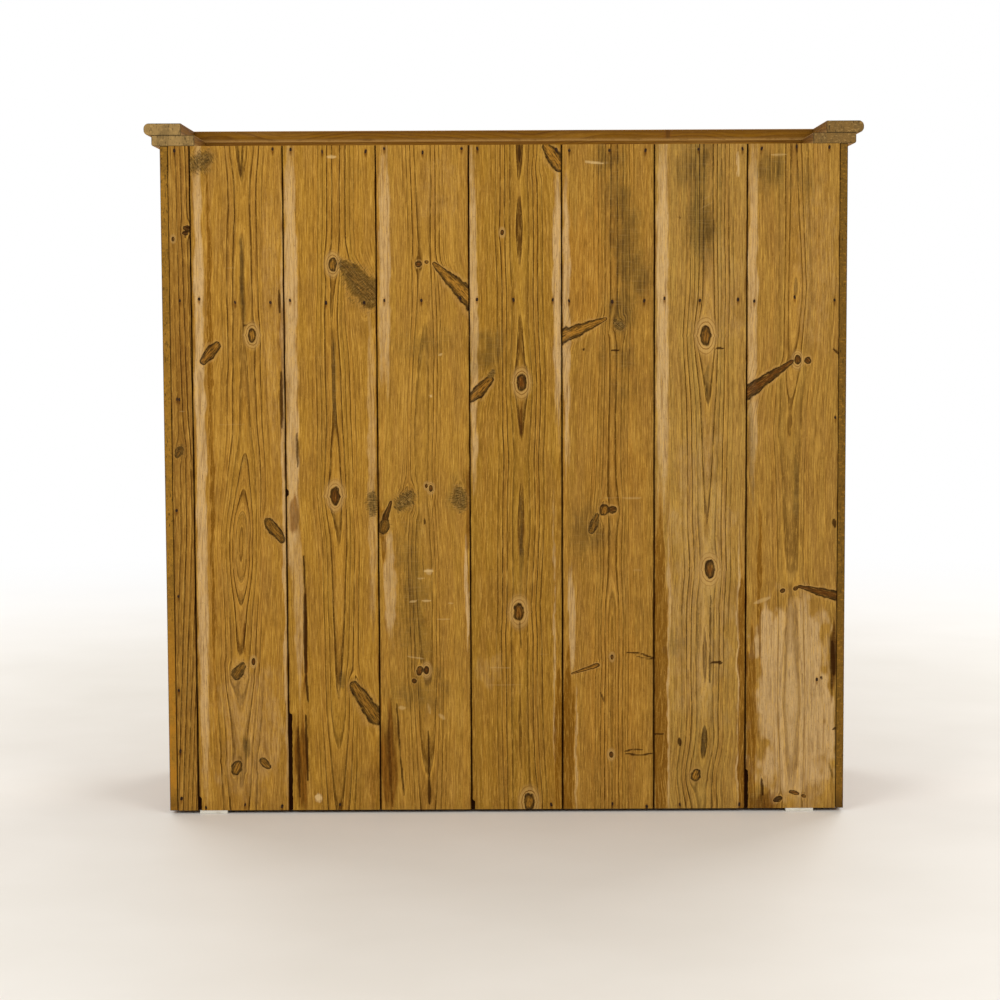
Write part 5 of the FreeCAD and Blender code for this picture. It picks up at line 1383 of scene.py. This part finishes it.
def planed_knots(pine, colour, reach, chance):
    """The colour with its knots: a shadow round each, and a heart with rings of its own."""
    heart = pine.ramp(chance, [(0.0, paint(88, 54, 14)), (0.5, paint(120, 78, 24)), (1.0, paint(70, 42, 12))])
    circles = pine.zigzag(pine.times(reach, PLANED_HEART_RINGS))
    heart = pine.mix(pine.ease(circles, 0.1, 0.5, 0.0, 0.5), heart, paint(50, 30, 8))
    shadow = pine.ease(reach, 1.0, 2.2, 0.5, 0.0)
    return pine.over(colour, (shadow, paint(128, 78, 26)), (pine.ease(reach, 0.92, 1.06, 1.0, 0.0), heart))


print("knots of", SMALL_KNOT / MM, "to", LARGE_KNOT / MM, "mm, rings of", RING_WIDE / MM, "mm")

# %% [markdown]
# Wax has gone dark where hands and brooms don't reach, in the corners beside the edges, and has
# worn off the arrises themselves, in long patches. Both need to know how far the nearest long
# arris is, and the distances from a board's three pairs of faces give it. On the cornice, which no
# hand reaches, the pale arrises and the pale lowest 8 mm of each board are painted highlight. In
# the plane of the back nothing was ever waxed: there the edges of the sides and of the cornice are
# bare, split, scuffed, and black at the foot.


# %% Grime, wear, painted highlight and bare edges
# FOOT_TALL is the height of the painted highlight along the lowest edge of a cornice board.
GRIME_WIDE, FOOT_TALL = 12 * MM, 8 * MM
print("grime reaches", GRIME_WIDE / MM, "mm from an arris, a scrubbed foot", FOOT_TALL / MM, "mm up")


def from_arris(pine, centred, half):
    """The distance to the nearest arris: the middle one of the three distances to a board's faces."""
    a, b, c = pine.parts(pine.vector("SUBTRACT", half, pine.vector("ABSOLUTE", centred)))
    least = pine.math("MINIMUM", pine.math("MINIMUM", a, b), c)
    most = pine.math("MAXIMUM", pine.math("MAXIMUM", a, b), c)
    return pine.minus(pine.minus(pine.plus(a, b, c), least), most)


def handled_and_highlit(pine, colour, arris, up_from_foot, patchy, worn_and_lit):
    """The colour with grime beside the arrises, arrises worn pale, and painted highlight on a cornice board's
    arrises and lowest edge.
    """
    dirt, wear, pale_arris_from, foot_highlight = worn_and_lit
    ragged_arris = pine.plus(arris, pine.about(patchy, 6 * MM))
    grime = pine.times(pine.ease(ragged_arris, 0.0, GRIME_WIDE, 1.0, 0.0), dirt)
    # Painted highlight: the lowest 8 mm of a board is made pale. Only the cornice has it.
    foot = pine.ease(up_from_foot, 0.0, FOOT_TALL, foot_highlight, 0.0)
    foot = pine.times(foot, pine.ease(patchy, 0.3, 0.5, 0.5, 1.0))
    long_patches = pine.noise(pine.object_place(), 7.0, 2.0, 0.5)
    # Pale arrises: wear, and on the cornice painted highlight.
    arris_wear_and_highlight = pine.times(pine.ease(arris, 0.2 * MM, 1.8 * MM, 1.0, 0.0), wear,
                        pine.ease(long_patches, pale_arris_from - 0.06, pale_arris_from + 0.24))
    return pine.over(
        colour,
        (grime, paint(70, 42, 18)),
        (foot, paint(190, 146, 80)),
        (arris_wear_and_highlight, paint(200, 154, 86)),
    )


def tinted(colour, red, green=None, blue=None):
    """A paint made lighter or darker, by one factor or by one for each hue, and never above 240."""
    factors = (red, red if green is None else green, red if blue is None else blue)
    return paint(*(min(factor * hue, 240) for factor, hue in zip(factors, colour)))


def bare_edge(pine, arris, raw, raw_right):
    """The unwaxed wood in the plane of the back: smeared, scuffed and split.

    It glows low down on the left, and is black at the very foot and along the arris.
    """
    place = pine.object_place()
    x, _, z = pine.parts(place)
    split = pine.grains(place, (2.4 * MM, 5 * MM, 9 * MM), 4.0, 0.7)
    scuff = pine.grains(place, (6 * MM, 6 * MM, 3 * MM), 4.0, 0.7)
    smear = pine.grains(place, (20 * MM, 20 * MM, 60 * MM))
    on_left = pine.ease(x, -0.01, 0.01)
    glow = pine.times(pine.ease(z, 0.45, 0.2), pine.ease(smear, 0.4, 0.6, 0.1, 0.75))
    glow = pine.times(glow, pine.ease(x, -0.01, 0.01, 0.25, 1.0))
    return pine.over(
        pine.mix(on_left, paint(*raw_right), paint(*raw)),
        (pine.ease(smear, 0.45, 0.65, 0.0, 0.5), tinted(raw, 0.66)),
        (pine.ease(scuff, 0.5, 0.68, 0.0, 0.45), tinted(raw, 1.3)),
        (pine.ease(split, 0.34, 0.46, 0.85, 0.0), tinted(raw, 0.42)),
        (pine.ease(z, 0.06, 0.0, 0.0, 0.6), paint(52, 32, 14)),
        (glow, tinted(raw, 1.22, 1.16, 1.0)),
        (pine.ease(arris, 0.4 * MM, 1.6 * MM, 0.75, 0.0), tinted(raw, 0.4)),
    )


# %% [markdown]
# One function lays these over each other, and four calls give the four finishes: waxed pine for
# the front, plain unwaxed pine for the inside, browner and duller pine for the cornice that no
# hand reaches, and a reddish one with more knots for the sides. The cornice's pale arrises and
# the pale lowest edge of its boards are painted highlight.

# %% The planed finishes
BACK_PLANE_FROM, BACK_PLANE_TO = 229.6 * MM, 230.4 * MM
PLANED_RELIEF = 0.2 * MM
PLANED_LINE = [(0.0, 0.45), (0.08, 0.02), (0.45, 0.06), (0.74, 0.4), (0.93, 1.0), (1.0, 0.5)]
PLAIN_RAW = (150, 112, 52)


def planed_pine(name, spring, summer, depth, dirt, wear, gloss, knot_share=0.5, raw=PLAIN_RAW,
                raw_right=PLAIN_RAW, sheen=0.3, pale_arris_from=0.42, foot_highlight=0.0):
    """Planed pine. depth is how far the pith lies under the face, dirt and wear go from 0 to 1.

    raw and raw_right are the colours of the unwaxed wood in the plane of the back, to the left and
    to the right as the back is seen. sheen is the strength of the gloss. The smaller
    pale_arris_from is, the more of each arris is made pale: by wear, and on the cornice as painted
    highlight. foot_highlight, from 0 to 1, lightens the lowest 8 mm of a board as painted highlight.
    """
    pine = Finish(name)
    centred, half = pine.attribute("board_place")[1], pine.attribute("board_half")[1]
    share = pine.attribute("board_share")[2]
    place = pine.vector("ADD", centred, pine.joined(pine.times(pine.minus(share, 0.5), 0.05), 0.0,
                                                    pine.times(share, 41.0)))
    fibre = pine.grains(place, (1.2 * MM, 1.2 * MM, 70 * MM))
    fine = pine.grains(place, (0.4 * MM, 0.4 * MM, 12 * MM), 2.0)
    cloud = pine.grains(place, (0.05, 0.05, 0.2), 4.0)
    patchy = pine.noise(pine.object_place(), 38.0, 4.0, 0.65)

    reach, knot_across, chance = cell_knots(pine, place, knot_share)
    ring = pine.plus(planed_rings(pine, place, depth, reach, knot_across), pine.about(fibre, 0.25))
    late, _ = late_wood(pine, ring, PLANED_LINE, 0.4, 0.95)
    colour = pine.over(
        spring,
        (late, summer),
        (pine.ease(cloud, 0.3, 0.7, 0.3, 0.0), paint(120, 78, 32)),
        (pine.ease(cloud, 0.5, 0.8, 0.0, 0.3), paint(200, 152, 82)),
        (pine.ease(fibre, 0.25, 0.6, 0.25, 0.0), paint(112, 70, 26)),
        (pine.ease(fine, 0.5, 0.8, 0.0, 0.18), paint(214, 176, 112)),
    )
    colour = planed_knots(pine, colour, reach, chance)
    arris = from_arris(pine, centred, half)
    up_from_foot = pine.plus(pine.parts(centred)[1], pine.parts(half)[1])
    colour = handled_and_highlit(pine, colour, arris, up_from_foot, patchy, (dirt, wear, pale_arris_from, foot_highlight))
    at_back = pine.ease(pine.parts(pine.object_place())[1], BACK_PLANE_FROM, BACK_PLANE_TO)
    colour = pine.mix(at_back, colour, bare_edge(pine, arris, raw, raw_right))

    height = pine.plus(pine.times(late, 0.35), pine.times(fibre, 0.4), pine.times(fine, 0.2))
    roughness = pine.ease(pine.plus(cloud, patchy), 0.7, 1.3, gloss, gloss + 0.16)
    roughness = pine.math("MAXIMUM", roughness, pine.times(at_back, 0.75))
    glossy = pine.ease(at_back, 0.0, 1.0, sheen, BARE_SHEEN)
    return pine.shine(colour, roughness, height, PLANED_RELIEF, Specular_IOR_Level=glossy)


WOODS = {
    "waxed": planed_pine("waxed_pine", paint(176, 126, 52), paint(120, 74, 20), depth=24 * MM, dirt=0.55,
                         wear=0.8, gloss=0.38),
    "inner": planed_pine("inner_pine", paint(190, 148, 88), paint(146, 98, 46), depth=30 * MM, dirt=0.35,
                         wear=0.3, gloss=0.62),
    # The cornice's pale arrises and the pale lowest edge of its boards are painted highlight.
    "cornice": planed_pine("cornice_pine", paint(136, 92, 8), paint(84, 46, 0), depth=20 * MM, dirt=0.5,
                           wear=0.5, gloss=0.6, knot_share=0.3, raw=(142, 114, 68), raw_right=(116, 88, 46),
                           sheen=0.05, pale_arris_from=0.2, foot_highlight=0.75),
    "side": planed_pine("side_pine", paint(164, 112, 38), paint(106, 62, 14), depth=30 * MM, dirt=0.5,
                        wear=0.7, gloss=0.42, knot_share=0.7, raw=(140, 100, 34), raw_right=(106, 76, 26)),
}
print(len(WOODS), "finishes of planed pine")

# %% [markdown]
# Now every planed board is copied and dressed. The frame's record says which body a node rides and
# which material slot it has, so nothing about the boards needs to be listed here.

# %% Copies of the boards
BODY_OF = {node: body for body, nodes in frame["record"]["behaviour"]["bodies"].items() for node in nodes}
SLOT_OF = {part["node"]: part["material_slot"] for part in frame["record"]["subparts"]}


def wood_for(node):
    """The finish of a planed board, by what it is on the cupboard."""
    for start in ("cornice", "side"):
        if node.startswith(start):
            return WOODS[start]
    return WOODS["waxed" if SLOT_OF[node] == "waxed_pine" else "inner"]


for node, slot in sorted(SLOT_OF.items()):
    if slot in ("waxed_pine", "inner_pine"):
        made = softened(f"{node}_wood", node, wood_for(node), BODY_OF[node], slot)
        print(made.name, len(made.data.polygons), "faces")

# %% [markdown]
# ## Turned knobs
#
# A knob is a lathe's work: one outline, turned round an axis. A modelling program's own turning
# tool could do it, but the points of a turned shape are one short formula. The outline is given as
# a few corners, as (distance from the axis, distance out from the face), and its corners are cut
# off again and again until it is a smooth curve. The two ends lie on the axis, where the mesh
# closes in a single point. The same faces, rings of quads and fans of triangles, serve the screws
# and nails later.


# %% Rings and fans of faces
def ring_faces(count, around):
    """The quads between count rings of points, and the rings themselves as rows of point numbers."""
    rings = np.arange(count * around).reshape(count, around)
    after = np.roll(rings, -1, 1)
    return np.stack([rings[:-1], rings[1:], after[1:], after[:-1]], -1).reshape(-1, 4), rings


def fan(ring, tip):
    """The triangles from a tip to every side of a ring of points."""
    return np.stack([np.full(len(ring), tip), ring, np.roll(ring, -1)], 1)


print("three rings of eight points make", len(ring_faces(3, 8)[0]), "quads")


# %% Knobs
def rounded(outline, times):
    """Cuts every corner of the outline at a quarter and three quarters of its sides, times over."""
    line = np.array(outline, float)
    for _ in range(times):
        near = line[:-1] * 0.75 + line[1:] * 0.25
        far = line[:-1] * 0.25 + line[1:] * 0.75
        line = np.concatenate([line[:1], np.stack([near, far], 1).reshape(-1, 2), line[-1:]])
    return line


def turned(name, outline, x, face, z, around=56):
    """A closed mesh of the outline turned round an axis along y at x and z.

    For the angle a and the outline's (radius, out), a point is (x + radius cos a, face - out,
    z + radius sin a). The first and last point of the outline lie on the axis.
    """
    radius, out = np.array(outline)[1:-1].T
    angle = np.linspace(0, 2 * math.pi, around, endpoint=False)
    points = np.stack(np.broadcast_arrays(
        x + radius[:, None] * np.cos(angle),
        (face - out)[:, None],
        z + radius[:, None] * np.sin(angle),
    ), axis=-1)
    ends = [(x, face - outline[0][1], z), (x, face - outline[-1][1], z)]
    quads, rings = ring_faces(len(radius), around)
    first, last = rings.size, rings.size + 1
    fans = np.concatenate([fan(rings[0], first), fan(rings[-1], last)[:, ::-1]])
    mesh = bpy.data.meshes.new(name)
    mesh.from_pydata(points.reshape(-1, 3).tolist() + ends, [], quads.tolist() + fans.tolist())
    mesh.shade_smooth()
    return mesh


KNOB_OUT = 30 * MM
KNOB_OUTLINE = [(0, -13.9), (5.9, -13.9), (5.9, -2), (5.9, -0.2), (10.9, -0.2), (10.9, 1.6), (8.4, 3.4),
                (7.2, 8), (7.4, 12), (12, 15.5), (16.6, 18.6), (17.0, 21.5), (16.9, 25), (14.6, 28.4),
                (8.5, 29.9), (0, 30)]


def knob_wood():
    """Turned and waxed pine: rings run across the knob's end, and it is darker in patches."""
    pine = Finish("turned_pine")
    place = pine.object_place()
    swing = pine.noise(pine.stretch(place, (0.02, 0.03, 0.02)), 1.0, 2.0)
    ring = pine.plus(pine.math("DIVIDE", pine.parts(place)[2], 2.3 * MM), pine.times(swing, 3.0))
    line = pine.ease(pine.math("FRACT", ring), 0.45, 0.95)
    fibre = pine.grains(place, (6 * MM, 0.8 * MM, 0.8 * MM))
    cloud = pine.noise(place, 90.0, 3.0)
    colour = pine.over(
        paint(164, 112, 44),
        (pine.times(line, 0.8), paint(108, 66, 20)),
        (pine.ease(fibre, 0.3, 0.65, 0.35, 0.0), paint(84, 52, 18)),
        (pine.ease(cloud, 0.45, 0.7, 0.0, 0.4), paint(78, 42, 16)),
    )
    height = pine.plus(pine.times(line, 0.3), fibre)
    roughness = pine.ease(cloud, 0.3, 0.7, 0.28, 0.42)
    return pine.shine(colour, roughness, height, 0.1 * MM, Coat_Weight=0.25, Coat_Roughness=0.25)


knob_finish = knob_wood()
knob_line = rounded(KNOB_OUTLINE, 2) * MM
for node in [node for node in SLOT_OF if node.endswith("_knob")]:
    low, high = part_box(node)
    middle = (low + high) / 2
    mesh = turned(node, knob_line, middle.x, low.y + KNOB_OUT, middle.z)
    placed(f"{node}_turned", mesh, knob_finish, BODY_OF[node], "turned_pine", node)
print("knobs turned with", len(knob_line), "points in their outline")

# %% [markdown]
# ## Turn buttons, hinges, screws and packers
#
# A turn button is a slip of the same waxed pine on one steel screw. The hinges are of blackened
# iron that doors and damp have rubbed and rusted. The packers under the feet are pale felt, pressed
# flat. Their shapes are already right in the frame, down to knuckles and pins, so they are copied
# as the boards are, with an edge softened as far as each stuff wears: a button's by 2 mm, where
# fingers turn it, felt by 1 mm, metal by 0.3 mm.


# %% Iron, steel and felt
def iron():
    """Blackened iron, rubbed to bare metal in places, with a little rust."""
    metal = Finish("hinge_iron")
    place = metal.object_place()
    patch = metal.noise(place, 160.0, 5.0, 0.65)
    speck = metal.noise(place, 900.0, 3.0, 0.6)
    colour = metal.mix(metal.ease(patch, 0.4, 0.62), paint(48, 44, 40), paint(92, 86, 78))
    colour = metal.mix(metal.ease(speck, 0.56, 0.7, 0.0, 0.7), colour, paint(104, 58, 28))
    height = metal.plus(patch, metal.times(speck, 0.4))
    return metal.shine(colour, metal.ease(patch, 0.35, 0.65, 0.62, 0.42), height, 0.12 * MM, Metallic=0.85)


def dull_steel():
    """Old steel screw: dulled, finely scratched."""
    metal = Finish("screw_steel")
    place = metal.object_place()
    scratch = metal.noise(metal.stretch(place, (3 * MM, 1 * MM, 0.3 * MM)), 1.0, 3.0)
    patch = metal.noise(place, 400.0, 3.0)
    colour = metal.mix(scratch, paint(96, 90, 82), paint(146, 138, 126))
    colour = metal.mix(metal.ease(patch, 0.5, 0.7, 0.0, 0.6), colour, paint(70, 52, 36))
    return metal.shine(colour, metal.ease(patch, 0.3, 0.7, 0.35, 0.55), scratch, 0.05 * MM, Metallic=0.9)


def felt():
    """Pale packing felt: a matt tangle of fibres."""
    cloth = Finish("pad_felt")
    place = cloth.object_place()
    tangle = cloth.grains(place, (0.7 * MM, 0.7 * MM, 0.4 * MM), 5.0, 0.7)
    patch = cloth.noise(place, 60.0, 3.0)
    colour = cloth.mix(tangle, paint(176, 170, 156), paint(232, 228, 216))
    colour = cloth.mix(cloth.ease(patch, 0.45, 0.7, 0.0, 0.4), colour, paint(160, 146, 120))
    return cloth.shine(colour, cloth.ease(tangle, 0.2, 0.8, 0.95, 0.85), tangle, 0.4 * MM)


steel_finish = dull_steel()
# For each material slot: the end of the piece's name, its finish, and how far its edges are softened.
SMALL_PARTS = {
    "turned_pine": ("wood", WOODS["waxed"], 2.0 * MM),
    "hinge_iron": ("iron", iron(), 0.3 * MM),
    "screw_steel": ("steel", steel_finish, 0.3 * MM),
    "pad_felt": ("cloth", felt(), 1.0 * MM),
}
for node, slot in sorted(SLOT_OF.items()):
    if slot in SMALL_PARTS and not node.endswith("_knob"):
        stuff, finish, soft = SMALL_PARTS[slot]
        made = softened(f"{node}_{stuff}", node, finish, BODY_OF[node], slot, soft)
        print(made.name, "softened by", round(soft / MM, 1), "mm")

# %% [markdown]
# ## Hinge screws
#
# Three countersunk screws hold each hinge leaf, the middle one set nearer the pin. A head is a low
# dome with a slot cut across it. The slot could be cut from the mesh with a boolean, but a plain
# grid of rings is enough: points that fall in the slot are pushed in. Each screw head is set on the
# open side of its leaf, and those on a door move with it.

# %% Screw heads
HEAD_RADIUS = 2.6 * MM
HEAD_RISE = 0.35 * MM
HEAD_UNDER = 0.6 * MM
HEAD_RINGS = [0.16, 0.3, 0.5, 0.7, 0.86, 1.0, 1.0]
SLOT_HALF = 0.42 * MM
SLOT_DEEP = 0.3 * MM
SLOT_TURN = 0.6


def copies(faces, count, size):
    """The faces of count copies of a piece that has size points."""
    return (faces + np.arange(count)[:, None, None] * size).reshape(-1, faces.shape[1]).tolist()


def screw_heads(name, places, outward, around=28):
    """One mesh of slotted heads, each centred at a place on a plane across x and facing outward.

    With r the distance from the middle as a share of the radius, the face stands HEAD_RISE (1 - r²)
    out of the leaf, less SLOT_DEEP in the slot, which is turned by SLOT_TURN. The last ring and the
    second tip lie HEAD_UNDER behind the leaf's face.
    """
    share = np.array(HEAD_RINGS)[:, None]
    angle = np.linspace(0, 2 * math.pi, around, endpoint=False)
    y, z = HEAD_RADIUS * share * np.cos(angle), HEAD_RADIUS * share * np.sin(angle)
    across_slot = np.abs(y * math.sin(SLOT_TURN) + z * math.cos(SLOT_TURN))
    out = HEAD_RISE * (1 - share**2) - SLOT_DEEP * ((across_slot < SLOT_HALF) & (share < 1))
    out[-1] = -HEAD_UNDER
    tips = [[outward * (HEAD_RISE - SLOT_DEEP), 0, 0], [-outward * HEAD_UNDER, 0, 0]]
    head = np.concatenate([np.stack([outward * out, y, z], -1).reshape(-1, 3), tips])

    quads, rings = ring_faces(len(HEAD_RINGS), around)
    fans = np.concatenate([fan(rings[0], rings.size), fan(rings[-1], rings.size + 1)[:, ::-1]])
    if outward < 0:
        quads, fans = quads[:, ::-1], fans[:, ::-1]
    points = np.array(places)[:, None, :] + head
    faces = copies(quads, len(places), len(head)) + copies(fans, len(places), len(head))
    mesh = bpy.data.meshes.new(name)
    mesh.from_pydata(points.reshape(-1, 3).tolist(), [], faces)
    return mesh


print("a head is", 2 * HEAD_RADIUS / MM, "mm wide and its slot", 2 * SLOT_HALF / MM, "mm")

# %% Screws on the leaves
# Each screw: its share of the way up the leaf, and its distance from the plate's far end.
LEAF_SCREWS = [(0.16, 4.5 * MM), (0.5, 9 * MM), (0.84, 4.5 * MM)]
PLATE_DEEP = 1 * MM


def leaf_screws(node):
    """Places of the screws on every leaf of a node, as two lists: those facing -x and those facing +x.

    A leaf's plate runs from its pin into the cupboard, so its points furthest in show its face.
    """
    points, _, solid = solids_in(node)
    on_frame = node.startswith("frame")
    found = {-1: [], 1: []}
    for number in range(solid.max() + 1):
        own = points[solid == number]
        low, high = own.min(axis=0), own.max(axis=0)
        hand = 1 if low[0] > 0 else -1
        plate = own[own[:, 1] > high[1] - PLATE_DEEP]
        face_x = plate[:, 0].min() if (hand > 0) == on_frame else plate[:, 0].max()
        facing = -hand if on_frame else hand
        tall = high[2] - low[2]
        found[facing] += [(face_x, high[1] - back, low[2] + share * tall) for share, back in LEAF_SCREWS]
    return found


for node in [node for node, slot in sorted(SLOT_OF.items()) if slot == "hinge_iron"]:
    for outward, places in leaf_screws(node).items():
        if places:
            name = f"{node}_screws_{'right' if outward > 0 else 'left'}"
            placed(name, screw_heads(name, places, outward), steel_finish, BODY_OF[node], "screw_steel")
            print(name, len(places), [round(value / MM, 1) for value in places[0]])

# %% [markdown]
# ## Nail heads
#
# A cut nail is stamped from plate, so its head is neither round nor square, and no two were struck
# alike. One low dome is made, with an outline between a circle and a square, and then drawn out,
# turned and placed for each nail by chance. All heads are one mesh, because they are one piece to
# the eye and never move apart.

# %% Nail heads
NAIL_AROUND = 10
NAIL_SQUARE = 0.6
NAIL_TOP = 0.72
NAIL_SHANK, NAIL_RISE, NAIL_SUNK = 1.4, 0.12, 0.04


def nail_heads(places, chance):
    """One mesh of all heads. A head is a dome of three rings and a top point, drawn out along x or z.

    At the angle a the outline's radius is 1 / max(|cos a|, |sin a|) to the power of NAIL_SQUARE: 0
    gives a circle, 1 a square. Sizes are in millimetres until the last step.
    """
    angle = np.linspace(0, 2 * math.pi, NAIL_AROUND, endpoint=False)
    corner = 1 / np.maximum(np.abs(np.cos(angle)), np.abs(np.sin(angle))) ** NAIL_SQUARE
    ring = np.stack([np.cos(angle), np.sin(angle)], 1) * corner[:, None]
    head = np.concatenate([ring, ring, ring * NAIL_TOP, [[0, 0]]])
    out = np.repeat([-NAIL_SHANK, 0.0, NAIL_RISE, NAIL_RISE], [NAIL_AROUND, NAIL_AROUND, NAIL_AROUND, 1])

    count = len(places)
    wide, long = chance.uniform(1.6, 2.4, (count, 1)), chance.uniform(2.4, 3.8, (count, 1))
    turn = chance.uniform(-0.3, 0.3, (count, 1))
    u, v = head[:, 0] * wide, head[:, 1] * long
    x = np.array(places)[:, :1] + u * np.cos(turn) - v * np.sin(turn)
    z = np.array(places)[:, 1:] + u * np.sin(turn) + v * np.cos(turn)
    y = np.broadcast_to(BACK_FACE / MM - NAIL_SUNK + out, x.shape)

    quads, rings = ring_faces(3, NAIL_AROUND)
    top = fan(rings[-1], rings.size)[:, ::-1]
    size = len(head)
    faces = copies(quads, count, size) + copies(top, count, size) + copies(rings[:1], count, size)
    mesh = bpy.data.meshes.new("nail_heads")
    mesh.from_pydata((np.stack([x, y, z], -1) * MM).reshape(-1, 3).tolist(), [], faces)
    return mesh


def nail_iron():
    """Rusted cut nails: nearly black, with a brown bloom."""
    metal = Finish("nail_iron")
    bloom = metal.noise(metal.object_place(), 700.0, 3.0)
    colour = metal.mix(metal.ease(bloom, 0.4, 0.65), paint(24, 17, 12), paint(58, 36, 20))
    return metal.shine(colour, metal.ease(bloom, 0.3, 0.7, 0.8, 0.6), bloom, 0.1 * MM, Specular_IOR_Level=0.1)


heads = placed("back_nail_heads", nail_heads(NAILS, nail_chance), nail_iron(), "case", "hinge_iron")
print(heads.name, len(heads.data.polygons), "faces")

# %% [markdown]
# ## Corners of a box
#
# A box is turned into two plain lists.

# %% Corners of a box
def corners(box):
    """A box as two plain lists."""
    return [list(corner) for corner in box]
